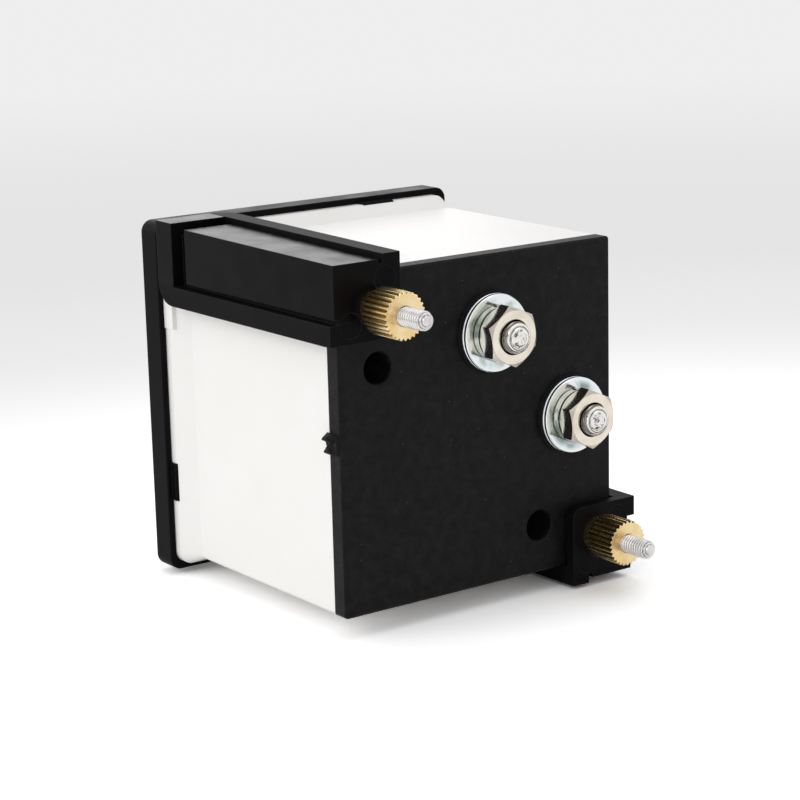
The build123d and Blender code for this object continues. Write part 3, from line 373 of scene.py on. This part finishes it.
def knurled_brass(name, centre):
    """Brass cut by a knurling roller: bright crests, and grooves painted a darker brown as shade."""
    streak_width, streak_share, crest_ease = 0.5, 0.15, 0.04
    made, tree, place = blank(name)
    out = about_axis(tree, place, centre)[1]
    # Painted shade: below the crests the colour runs down to dark brown in the grooves
    high = add(tree, "ShaderNodeMapRange",
               values={"From Min": (KNURL_RADIUS - KNURL_DEPTH) * MM,
                       "From Max": (KNURL_RADIUS - crest_ease) * MM},
               links={"Value": out})
    along = add(tree, "ShaderNodeMapping", values={"Scale": (1.0, streak_share, 1.0)},
                links={"Vector": place})
    drift = add(tree, "ShaderNodeTexNoise", values={"Scale": per_mm(streak_width), "Detail": 2.0},
                links={"Vector": along.outputs["Vector"]})
    crest = add(tree, "ShaderNodeValToRGB", links={"Fac": drift.outputs["Fac"]},
                stops=[(0.35, linear("#e2c074")), (0.65, linear("#fbe9b4"))])
    # Painted shade: grooves take the dark brown, crests the bright brass
    shade = add(tree, "ShaderNodeMix", {"data_type": "RGBA"}, {"A": linear("#7d5f28")},
                {"Factor": high.outputs["Result"], "B": crest.outputs["Color"]})
    shader = add(tree, "ShaderNodeBsdfPrincipled", values={"Metallic": 1.0, "Roughness": 0.26},
                 links={"Base Color": shade.outputs["Result"]})
    add(tree, "ShaderNodeOutputMaterial", links={"Surface": shader.outputs["BSDF"]})
    return made


def rolled_spring_steel():
    """Spring washers of rolled strip: pale and dark lines round the rim, a painted highlight and painted
    shade for the rolled edges, also drawn as bumps.
    """
    line_gap = 0.8
    made, tree, place = blank("rolled_spring_steel")
    painted_light_bands = add(tree, "ShaderNodeTexWave", {"wave_type": "BANDS", "bands_direction": "Y"},
                {"Scale": bands_mm(line_gap), "Distortion": 0.5, "Detail": 1.0}, {"Vector": place})
    # Painted highlight and shade: bands from near black to pale along the washer's axis
    shade = add(tree, "ShaderNodeValToRGB", links={"Fac": painted_light_bands.outputs["Fac"]},
                stops=[(0.2, linear("#2f2d28")), (0.5, linear("#e8e4d6"))])
    bump = add(tree, "ShaderNodeBump", values={"Strength": 0.5, "Distance": 0.06 * MM},
               links={"Height": painted_light_bands.outputs["Fac"]})
    shader = add(tree, "ShaderNodeBsdfPrincipled", values={"Metallic": 1.0, "Roughness": 0.24},
                 links={"Base Color": shade.outputs["Color"], "Normal": bump.outputs["Normal"]})
    add(tree, "ShaderNodeOutputMaterial", links={"Surface": shader.outputs["BSDF"]})
    return made


def moulded(name, low, high, roughness):
    """A plain moulded or lacquered piece whose tone and gloss drift slightly over a few millimetres."""
    patch_width = 2.5
    made, tree, place = blank(name)
    drift = add(tree, "ShaderNodeTexNoise", values={"Scale": per_mm(patch_width), "Detail": 2.0},
                links={"Vector": place})
    shade = add(tree, "ShaderNodeValToRGB", links={"Fac": drift.outputs["Fac"]},
                stops=[(0.3, linear(low)), (0.7, linear(high))])
    rough = add(tree, "ShaderNodeValToRGB", links={"Fac": drift.outputs["Fac"]},
                stops=[(0.3, grey(roughness * 0.85)), (0.7, grey(roughness * 1.2))])
    shader = add(tree, "ShaderNodeBsdfPrincipled", values={"IOR": 1.5},
                 links={"Base Color": shade.outputs["Color"], "Roughness": rough.outputs["Color"]})
    add(tree, "ShaderNodeOutputMaterial", links={"Surface": shader.outputs["BSDF"]})
    return made


def wound_copper():
    """Lacquered copper wire of 0.08 mm, drawn as coarse as 0.2 mm so that its turns show, with painted shade
    in the creases between the turns.
    """
    turn_gap = 0.2
    made, tree, place = blank("wound_copper")
    turns = add(tree, "ShaderNodeTexWave", {"wave_type": "BANDS", "bands_direction": "X"},
                {"Scale": bands_mm(turn_gap), "Distortion": 0.3}, {"Vector": place})
    # Painted shade: a narrow dark stripe between the turns
    shade = add(tree, "ShaderNodeValToRGB", links={"Fac": turns.outputs["Fac"]},
                stops=[(0.1, linear("#5e2410")), (0.7, linear("#b8623a"))])
    bump = add(tree, "ShaderNodeBump", values={"Strength": 0.6, "Distance": 0.05 * MM},
               links={"Height": turns.outputs["Fac"]})
    shader = add(tree, "ShaderNodeBsdfPrincipled",
                 values={"Metallic": 0.85, "Roughness": 0.3, "Coat Weight": 0.5},
                 links={"Base Color": shade.outputs["Color"], "Normal": bump.outputs["Normal"]})
    add(tree, "ShaderNodeOutputMaterial", links={"Surface": shader.outputs["BSDF"]})
    return made


# Black, white and clear mouldings
rear_black = textured_black_abs()
black = polished_black_abs()
clamp_black = clamp_black_abs()
white = white_abs()
pane = clear_acrylic()

# Screws: blue-white zinc plate, bright and a little cloudy
zinc = plated("blue_zinc_plate", "#cfd9df", "#edf1f0", 0.16, 2.8)
# Clamp studs: clear zinc plate, almost white on the crests
stud_steel = plated("bright_zinc_stud", "#d6d3d4", "#f0eeec", 0.2, 1.5)
# Thread roots: painted shade, a darker and greyer copy of the stud plate, and duller
painted_shade_root = plated("shaded_thread_root", "#7d7a76", "#a9a6a0", 0.4, 0.9)
# Corners of the hexagon nuts: nickel over a coarser cut, and darker and warmer than the faces as painted
# shade
painted_shade_chamfer = plated("painted_shade_nickel_chamfer", "#c3b7ad", "#e2d8cb", 0.24, 1.0)
# Movement: drawn brass, satin gold
plain_brass = plated("drawn_brass", "#b98f45", "#dcb569", 0.3, 3.0)
# Hairsprings: phosphor bronze, coppery
bronze = plated("phosphor_bronze", "#a8693c", "#c98c55", 0.3, 1.5)
# Solder tags: dipped tin, pale and dull
tin = plated("dull_tin", "#a9abac", "#c2c4c4", 0.45, 2.0)
# Yoke: plated soft iron, mid grey
iron = plated("plated_soft_iron", "#83868a", "#a2a5a8", 0.4, 3.0)
# Core: ground magnet alloy, dark grey
magnet = plated("ground_magnet_alloy", "#4a4a4c", "#68686a", 0.42, 1.2)
# Coil former: rolled aluminium strip, bright
strip = plated("bright_aluminium_strip", "#c8cace", "#dfe1e4", 0.25, 2.0)
spring_steel = rolled_spring_steel()
copper = wound_copper()

# Movement frame: glass-filled polycarbonate, dull dark grey
frame_grey = moulded("dark_grey_polycarbonate", "#2b2c2f", "#35363a", 0.5)
# Dial: baked white enamel, matt
enamel = moulded("white_dial_enamel", "#f0eee8", "#f4f2ec", 0.55)
# Pointer: sprayed black lacquer, matt
pointer_black = moulded("matt_black_lacquer", "#111112", "#1b1b1c", 0.6)
# Dial print: screened ink, dense and matt
ink = moulded("black_screen_ink", "#101012", "#161618", 0.6)
# Resistor: dipped blue lacquer, glossy
blue_lacquer = moulded("blue_resistor_lacquer", "#3b6f9e", "#4a80b0", 0.3)
# Lead wire: drawn PVC sleeve, soft sheen
red_pvc = moulded("red_pvc_sleeve", "#a01e18", "#b42a22", 0.4)

finish = {
    "bezel": black, "window": pane, "case": white, "rear_plate": rear_black, "movement_frame": frame_grey,
    "dial": enamel, "dial_mask": black, "yoke": iron, "core_magnet": magnet, "coil_former": strip,
    "coil_winding": copper, "front_staff": plain_brass, "rear_staff": plain_brass, "pointer": pointer_black,
    "front_bridge": plain_brass, "rear_bridge": plain_brass, "front_bearing": plain_brass,
    "rear_bearing": plain_brass, "zero_screw": black, "zero_lever": plain_brass,
    "series_resistor": blue_lacquer, "lead_wire": red_pvc, "front_hairspring": bronze,
    "rear_hairspring": bronze, "tail_weight": plain_brass, "core_lug_1": frame_grey, "core_lug_2": frame_grey,
}
knurled = {}
for key in TERMINALS:
    nut = turned(f"turned_nickel_plate_{key}", TERMINALS[key], "#e3d9c6", "#f6efe0", roughness=0.12,
                 feed=0.75, depth=0.01, groove=THREAD_SHADE_RING)
    end = cut_stud_end(f"plated_stud_end_{key}", TERMINALS[key])
    knurled[key] = knurled_brass(f"knurled_brass_{key}", CLAMP_STUDS[key])
    brass = turned(f"turned_brass_{key}", CLAMP_STUDS[key], "#efca88", "#feecc0", roughness=0.24, feed=0.88,
                   depth=0.015)
    washer = zinc_washer(f"blue_zinc_washer_{key}", TERMINALS[key])
    finish.update({
        f"terminal_nut_{key}": nut, f"terminal_stud_{key}": end, f"clamp_nut_{key}": brass,
        f"inner_washer_{key}": washer, f"outer_washer_{key}": washer, f"spring_washer_{key}": spring_steel,
        f"clamp_stud_{key}": stud_steel, f"clamp_bracket_{key}": clamp_black, f"case_screw_{key}": zinc,
        f"solder_tag_{key}": tin, f"bridge_screw_{key}": zinc, f"front_spacer_{key}": plain_brass,
        f"rear_spacer_{key}": plain_brass, f"dial_screw_{key}": zinc, f"pointer_stop_{key}": pointer_black,
        f"side_weight_{key}": plain_brass,
    })
for name, item in finish.items():
    solid = nodes[name].data
    solid.materials.clear()
    solid.materials.append(item)


def mesh_piece(name, points, faces, item, body):
    """A new piece in the row frame, in metres, on its body and with its slot."""
    mesh = bpy.data.meshes.new(name)
    mesh.from_pydata(points, [], faces)
    mesh.materials.append(item)
    made = bpy.data.objects.new(name, mesh)
    bpy.context.scene.collection.objects.link(made)
    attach(made, body)
    return made


def point_about(centre, radius, turn, y):
    """A point, in metres, at a radius and an angle about an axis along Y."""
    return ((centre[0] + radius * math.cos(turn)) * MM, y * MM, (centre[1] + radius * math.sin(turn)) * MM)


def thread(name, centre, item, start, end, radius, pitch, depth, dome):
    """A right-handed thread about an axis along Y, whose groove runs out over a dome at its rear end."""
    around, rows_per_pitch = 48, 14
    dome_degrees = range(0, 85, 3)
    flank_slope, core_radius = 1.25, 0.04
    fade_slope, fade_start = 2.6, 0.5
    dome_weight, root_limit = 0.3, 1.3
    length = end - dome - start
    straight = round(length / pitch * rows_per_pitch)
    profile = [(radius, start + length * row / straight, 1.0, 0.0) for row in range(straight)]
    for degrees in dome_degrees:
        lean = math.radians(degrees)
        out, back = math.cos(lean) * dome, math.sin(lean) * radius
        size = math.hypot(out, back)
        profile.append((radius * math.cos(lean), end - dome + dome * math.sin(lean), out / size, back / size))
    points = []
    crests = []
    travel = 0.0
    for row, (r, y, out, back) in enumerate(profile):
        if row > 0:
            travel += math.hypot(r - profile[row - 1][0], y - profile[row - 1][1])
        for step in range(around):
            phase = (travel / pitch + step / around) % 1.0
            crest = min(1.0, (1 - abs(2 * phase - 1)) * flank_slope)
            cut = depth * (1 - crest) * min(1.0, max(0.0, fade_slope * r / radius - fade_start))
            points.append(point_about(centre, max(r - cut * out, core_radius), 2 * math.pi * step / around,
                                      y - cut * back))
            crests.append(crest + dome_weight * max(0.0, 1 - r / radius))
    faces = []
    rows = len(profile) - 1
    for row in range(rows):
        for step in range(around):
            a = row * around + step
            b = row * around + (step + 1) % around
            faces.append((a, a + around, b + around, b))
    faces.append(tuple(rows * around + step for step in range(around)))
    faces.append(tuple(reversed(range(around))))
    made = mesh_piece(name, points, faces, item, "housing")
    # Faces in the thread's roots take the darker copy of the plate: painted shade
    made.data.materials.append(painted_shade_root)
    for face in made.data.polygons:
        face.use_smooth = len(face.vertices) == 4
        face.material_index = int(face.use_smooth and sum(crests[v] for v in face.vertices) < root_limit)
    return made


def ring_piece(name, body, centre, profile, around, cut_rings, items):
    """A closed turned form with a bore: profile gives each ring's radius and place along Y at an angle. The
    faces that start at one of the cut rings take the second material."""
    sharp_degrees = 20
    turns = [2 * math.pi * step / around for step in range(around)]
    outlines = [profile(turn) for turn in turns]
    rings = len(outlines[0])
    points = [point_about(centre, outline[row][0], turn, outline[row][1])
              for row in range(rings) for turn, outline in zip(turns, outlines)]
    faces = []
    for row in range(rings):
        under = (row + 1) % rings
        for step in range(around):
            beside = (step + 1) % around
            faces.append((row * around + step, under * around + step, under * around + beside,
                          row * around + beside))
    made = mesh_piece(name, points, faces, items[0], body)
    made.data.materials.append(items[1])
    for index, face in enumerate(made.data.polygons):
        face.use_smooth = True
        face.material_index = int(index // around in cut_rings)
    made.data.set_sharp_from_angle(angle=math.radians(sharp_degrees))
    return made


def hexagon_nut(key):
    """A hexagon nut whose corners are turned down to a chamfer at both ends."""
    face_circle, bore, sink = 3.42, 2.0, 0.3
    slope = math.tan(math.radians(34))
    steps, rear_chamfer = 240, 3

    def profile(turn):
        lean = (math.degrees(turn) - HEX_TURNS[key]) % 60 - 30
        reach = HEX_ACROSS / 2 / math.cos(math.radians(lean))
        drop = (reach - face_circle) * slope
        return [(bore, HEX_SEAT), (face_circle, HEX_SEAT), (reach, HEX_SEAT + drop), (reach, HEX_FACE - drop),
                (face_circle, HEX_FACE), (bore + sink, HEX_FACE), (bore, HEX_FACE - sink)]

    # The chamfer faces take the darker, warmer nickel: painted shade
    made = ring_piece(f"hexagon_nut_{key}", "housing", TERMINALS[key], profile, steps,
                      (rear_chamfer,), (finish[f"terminal_nut_{key}"], painted_shade_chamfer))
    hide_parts(f"terminal_nut_{key}")


def knurled_nut(key):
    """A clamp nut whose straight knurl runs out to its rear face."""
    bore, collar, edge = 1.3, 2.3, 0.05
    flank_slope, groove_floor = 1.45, 0.2
    steps_per_tooth, knurl_rings = 10, (3, 4)

    def profile(turn):
        phase = (turn * KNURL_TEETH / (2 * math.pi)) % 1.0
        rise = min(1.0, max(0.0, flank_slope * abs(2 * phase - 1) - groove_floor))
        knurl = KNURL_RADIUS - KNURL_DEPTH * (1 - rise)
        return [(bore, NUT_FRONT), (collar, NUT_FRONT), (collar, NUT_COLLAR_END),
                (knurl - 3 * edge, NUT_COLLAR_END), (knurl, NUT_COLLAR_END + 3 * edge),
                (knurl, NUT_REAR - edge), (knurl - edge, NUT_REAR), (bore, NUT_REAR)]

    made = ring_piece(f"knurled_nut_{key}", f"clamp_nut_{key}", CLAMP_STUDS[key], profile,
                      KNURL_TEETH * steps_per_tooth, knurl_rings, (finish[f"clamp_nut_{key}"], knurled[key]))
    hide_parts(f"clamp_nut_{key}")


def gate_stub():
    """The torn stub that the plate's gate leaves on its side: two ragged peaks with a dip between them."""
    across, up = 12, 18
    middle, half = (36.95, 0.57), (1.35, 1.4)
    base, lean = 0.52, 0.5
    reach, seat, root = 0.9, 0.05, 0.4
    peak_shapes = ((0.85, 0.62, 0.34), (0.6, -0.68, 0.3))
    ripples = ((0.1, 7.0, 11.0), (0.07, 17.0, -5.0))
    points = []
    for row in range(up + 1):
        v = 2 * row / up - 1
        for column in range(across + 1):
            u = 2 * column / across - 1
            peaks = sum(tall * math.exp(-((v - place) / width) ** 2) for tall, place, width in peak_shapes)
            ragged = sum(size * math.sin(by_u * u + by_v * v) for size, by_u, by_v in ripples)
            fall = max(0.0, 1 - abs(u) ** 3) * max(0.0, 1 - abs(v) ** 6)
            height = (base + peaks * (1 - lean * u) + ragged) * fall
            points.append(((CASE_HALF - seat + reach * height) * MM, (middle[0] + half[0] * u) * MM,
                           (middle[1] + half[1] * v) * MM))
    top = len(points)
    points += [((CASE_HALF - root) * MM, y, z) for x, y, z in points]
    wide = across + 1
    faces = []
    for row in range(up):
        for column in range(across):
            a = row * wide + column
            faces.append((a, a + 1, a + wide + 1, a + wide))
            faces.append((a + top + wide, a + top + wide + 1, a + top + 1, a + top))
    rim = list(range(across))
    rim += [row * wide + across for row in range(up)]
    rim += [up * wide + column for column in range(across, 0, -1)]
    rim += [row * wide for row in range(up, 0, -1)]
    for a, b in zip(rim, rim[1:] + rim[:1]):
        faces.append((a, a + top, b + top, b))
    mesh_piece("gate_stub", points, faces, rear_black, "housing")


# Threads, too fine for the solids: each clamp stud's starts inside the meter, each terminal's in its nut
for key, centre in CLAMP_STUDS.items():
    rod = thread(f"clamp_stud_thread_{key}", centre, stud_steel, start=PLATE_REAR - STUD_INSIDE,
                 end=STUD_END, radius=1.25, pitch=0.45, depth=0.2, dome=0.9)
    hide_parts(f"clamp_stud_{key}")
for key, centre in TERMINALS.items():
    thread(f"terminal_thread_{key}", centre, finish[f"terminal_stud_{key}"], start=43.0,
           end=44.9, radius=2.08, pitch=0.7, depth=0.16, dome=0.75)
for key in TERMINALS:
    hexagon_nut(key)
    knurled_nut(key)
gate_stub()

# Dial print, in millimetres: it lies on the dial, its angles are seen from the front about the pivot
PRINT_PLACE = DIAL_FRONT - 0.02
SCALE_START, SCALE_TURN = 180, 90
SCALE_LINE = (23.3, 23.5)
LAST_TICK, LAST_NUMBER = 50, 5
TICKS_PER_NUMBER = LAST_TICK // LAST_NUMBER
TICK_START, TICK_MIDDLE = 23.4, 24
LONG_TICK, HALF_TICK, SHORT_TICK = 2.6, 1.9, 1.2
WIDE_TICK, FINE_TICK = 0.16, 0.1
NUMBER_RADIUS, NUMBER_SIZE = 28.2, 3.0
UNIT_PLACE, UNIT_SIZE = (-1.0, 1.0), 6.0


def dial_band(name, inner, outer, first, last, steps):
    """A printed band round the pivot between two angles."""
    points = []
    for step in range(steps + 1):
        turn = math.radians(first + (last - first) * step / steps)
        points += [point_about(PIVOT, radius, turn, PRINT_PLACE) for radius in (inner, outer)]
    faces = [(2 * s, 2 * s + 1, 2 * s + 3, 2 * s + 2) for s in range(steps)]
    mesh_piece(name, points, faces, ink, "housing")


def printed(name, text, size, x, z, turn=0.0):
    """Printed characters on the dial, read from the front."""
    curve = bpy.data.curves.new(name, "FONT")
    curve.body = text
    curve.size = size * MM
    curve.align_x = curve.align_y = "CENTER"
    curve.materials.append(ink)
    made = bpy.data.objects.new(name, curve)
    bpy.context.scene.collection.objects.link(made)
    made.matrix_world = (Matrix.Translation(Vector((x * MM, PRINT_PLACE * MM, z * MM)))
                         @ Matrix.Rotation(math.radians(90), 4, "X") @ Matrix.Rotation(turn, 4, "Z"))
    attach(made, "housing")


dial_band("scale_line", *SCALE_LINE, SCALE_START - SCALE_TURN, SCALE_START, steps=60)
for tick in range(LAST_TICK + 1):
    if tick % TICKS_PER_NUMBER == 0:
        length, width = LONG_TICK, WIDE_TICK
    elif tick % (TICKS_PER_NUMBER // 2) == 0:
        length, width = HALF_TICK, FINE_TICK
    else:
        length, width = SHORT_TICK, FINE_TICK
    middle = SCALE_START - SCALE_TURN * tick / LAST_TICK
    half = math.degrees(width / 2 / TICK_MIDDLE)
    dial_band(f"scale_tick_{tick}", TICK_START, TICK_START + length, middle - half, middle + half, steps=1)
for index in range(LAST_NUMBER + 1):
    angle = math.radians(SCALE_START - SCALE_TURN / LAST_NUMBER * index)
    printed(f"scale_number_{index}", str(index), NUMBER_SIZE, PIVOT[0] + NUMBER_RADIUS * math.cos(angle),
            PIVOT[1] + NUMBER_RADIUS * math.sin(angle), angle - math.pi / 2)
printed("scale_unit", "A", UNIT_SIZE, *UNIT_PLACE)


def white_paper_sweep():
    """White paper that keeps the meter's shadow and fades to a pale grey further off, where it is a glow with
    a painted light falloff. The camera sees it brightest, through glass too. Metal mirrors it less bright,
    and it lights the meter least of all."""
    middle, shadow_reach, grey_reach = (0.015, 0.115, 0.0), 0.08, 0.26
    made, tree, place = blank("white_paper_sweep")
    path = add(tree, "ShaderNodeLightPath")
    direct = add(tree, "ShaderNodeMath", {"operation": "MAXIMUM"},
                 links={0: path.outputs["Is Camera Ray"], 1: path.outputs["Is Transmission Ray"]})
    seen = add(tree, "ShaderNodeMath", {"operation": "MAXIMUM"},
               links={0: direct.outputs[0], 1: path.outputs["Is Glossy Ray"]})
    away = add(tree, "ShaderNodeVectorMath", {"operation": "DISTANCE"}, {1: middle}, {0: place})
    mirrored = add(tree, "ShaderNodeMapRange", values={"To Min": 0.9, "To Max": 1.1},
                   links={"Value": seen.outputs[0]})
    bright = add(tree, "ShaderNodeMath", {"operation": "MULTIPLY_ADD"}, {1: 0.5},
                 {0: direct.outputs[0], 2: mirrored.outputs["Result"]})
    near = add(tree, "ShaderNodeBsdfDiffuse", links={"Color": bright.outputs[0]})
    # Painted light falloff: further off the floor glows a grey that dips and then rises again with distance
    tone = add(tree, "ShaderNodeValToRGB", links={"Fac": away.outputs["Value"]},
               stops=[(0.13, grey(0.93)), (0.24, grey(0.85)), (0.34, grey(0.78)), (0.44, grey(0.78)),
                      (0.75, grey(0.86))])
    paper = add(tree, "ShaderNodeEmission", links={"Color": tone.outputs["Color"]})
    far = add(tree, "ShaderNodeMapRange", {"interpolation_type": "SMOOTHSTEP"},
              {"From Min": shadow_reach, "From Max": grey_reach}, {"Value": away.outputs["Value"]})
    share = add(tree, "ShaderNodeMath", {"operation": "MULTIPLY"},
                links={0: seen.outputs[0], 1: far.outputs["Result"]})
    both = add(tree, "ShaderNodeMixShader",
               links={0: share.outputs[0], 1: near.outputs["BSDF"], 2: paper.outputs["Emission"]})
    add(tree, "ShaderNodeOutputMaterial", links={"Surface": both.outputs["Shader"]})
    return made


# Floor
FLOOR_SIZE = 12
bpy.ops.mesh.primitive_plane_add(size=FLOOR_SIZE, location=(0, 0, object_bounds()[0].z))
floor = bpy.context.object
floor.name = "floor"
floor.data.materials.append(white_paper_sweep())

# World: plain pale light, brighter where the camera, metal or glass sees it than where it lights the meter
world = bpy.data.worlds.new("studio")
bpy.context.scene.world = world
world.use_nodes = True
tree = world.node_tree
tree.nodes.clear()
path = add(tree, "ShaderNodeLightPath")
plain = add(tree, "ShaderNodeMath", {"operation": "MAXIMUM"},
            links={0: path.outputs["Is Camera Ray"], 1: path.outputs["Is Glossy Ray"]})
plain = add(tree, "ShaderNodeMath", {"operation": "MAXIMUM"},
            links={0: plain.outputs[0], 1: path.outputs["Is Transmission Ray"]})
strength = add(tree, "ShaderNodeMapRange", values={"To Min": 0.66, "To Max": 0.89},
               links={"Value": plain.outputs[0]})
sky = add(tree, "ShaderNodeBackground", values={"Color": linear("#fbfbfc")},
          links={"Strength": strength.outputs[0]})
add(tree, "ShaderNodeOutputWorld", links={"Surface": sky.outputs["Background"]})


def lamp(name, place, aim, size, power):
    """A square soft lamp aimed at a point, in metres and watts."""
    data = bpy.data.lights.new(name, "AREA")
    data.size = size
    data.energy = power
    made = bpy.data.objects.new(name, data)
    bpy.context.scene.collection.objects.link(made)
    made.location = place
    made.rotation_mode = "QUATERNION"
    made.rotation_quaternion = (Vector(aim) - Vector(place)).to_track_quat("-Z", "Y")


lamp("overhead", place=(-0.1, 0.06, 0.8), aim=(0, 0.02, 0), size=0.8, power=0.7)
lamp("left", place=(0.85, -0.1, 0.4), aim=(0, 0.02, 0), size=0.7, power=2.8)
lamp("front_fill", place=(-0.35, -0.9, 0.45), aim=(0, 0, 0), size=0.7, power=1.5)
lamp("dial_side", place=(0.35, -0.9, 0.3), aim=(0, 0, 0), size=0.6, power=0.9)

# Camera, from a fit of the photograph's straight edges: angles in degrees, place in millimetres, then pixels
AZIMUTH, ELEVATION, ROLL = (math.radians(a) for a in (36.886, 13.774, -1.140))
CAMERA_PLACE = (182.38, 275.20, 73.61)
FOCAL, CENTRE_X, CENTRE_Y, FRAME = 2405.83, 450.39, 420.99, 800
SENSOR_WIDTH = 36
forward = -Vector((math.sin(AZIMUTH) * math.cos(ELEVATION), math.cos(AZIMUTH) * math.cos(ELEVATION),
                   math.sin(ELEVATION)))
level_right = forward.cross(Vector((0, 0, 1))).normalized()
level_up = level_right.cross(forward)
right = math.cos(ROLL) * level_right + math.sin(ROLL) * level_up
up = -math.sin(ROLL) * level_right + math.cos(ROLL) * level_up
camera_data = bpy.data.cameras.new("camera")
camera = bpy.data.objects.new("camera", camera_data)
bpy.context.scene.collection.objects.link(camera)
facing = Matrix((right, up, -forward)).transposed().to_4x4()
camera.matrix_world = Matrix.Translation(Vector(CAMERA_PLACE) * MM) @ facing
camera_data.sensor_width = SENSOR_WIDTH
camera_data.lens = FOCAL / FRAME * SENSOR_WIDTH
camera_data.shift_x = (FRAME / 2 - CENTRE_X) / FRAME
camera_data.shift_y = (CENTRE_Y - FRAME / 2) / FRAME
camera_data.clip_start = 0.01
bpy.context.scene.camera = camera
bpy.context.scene.view_settings.view_transform = "Standard"
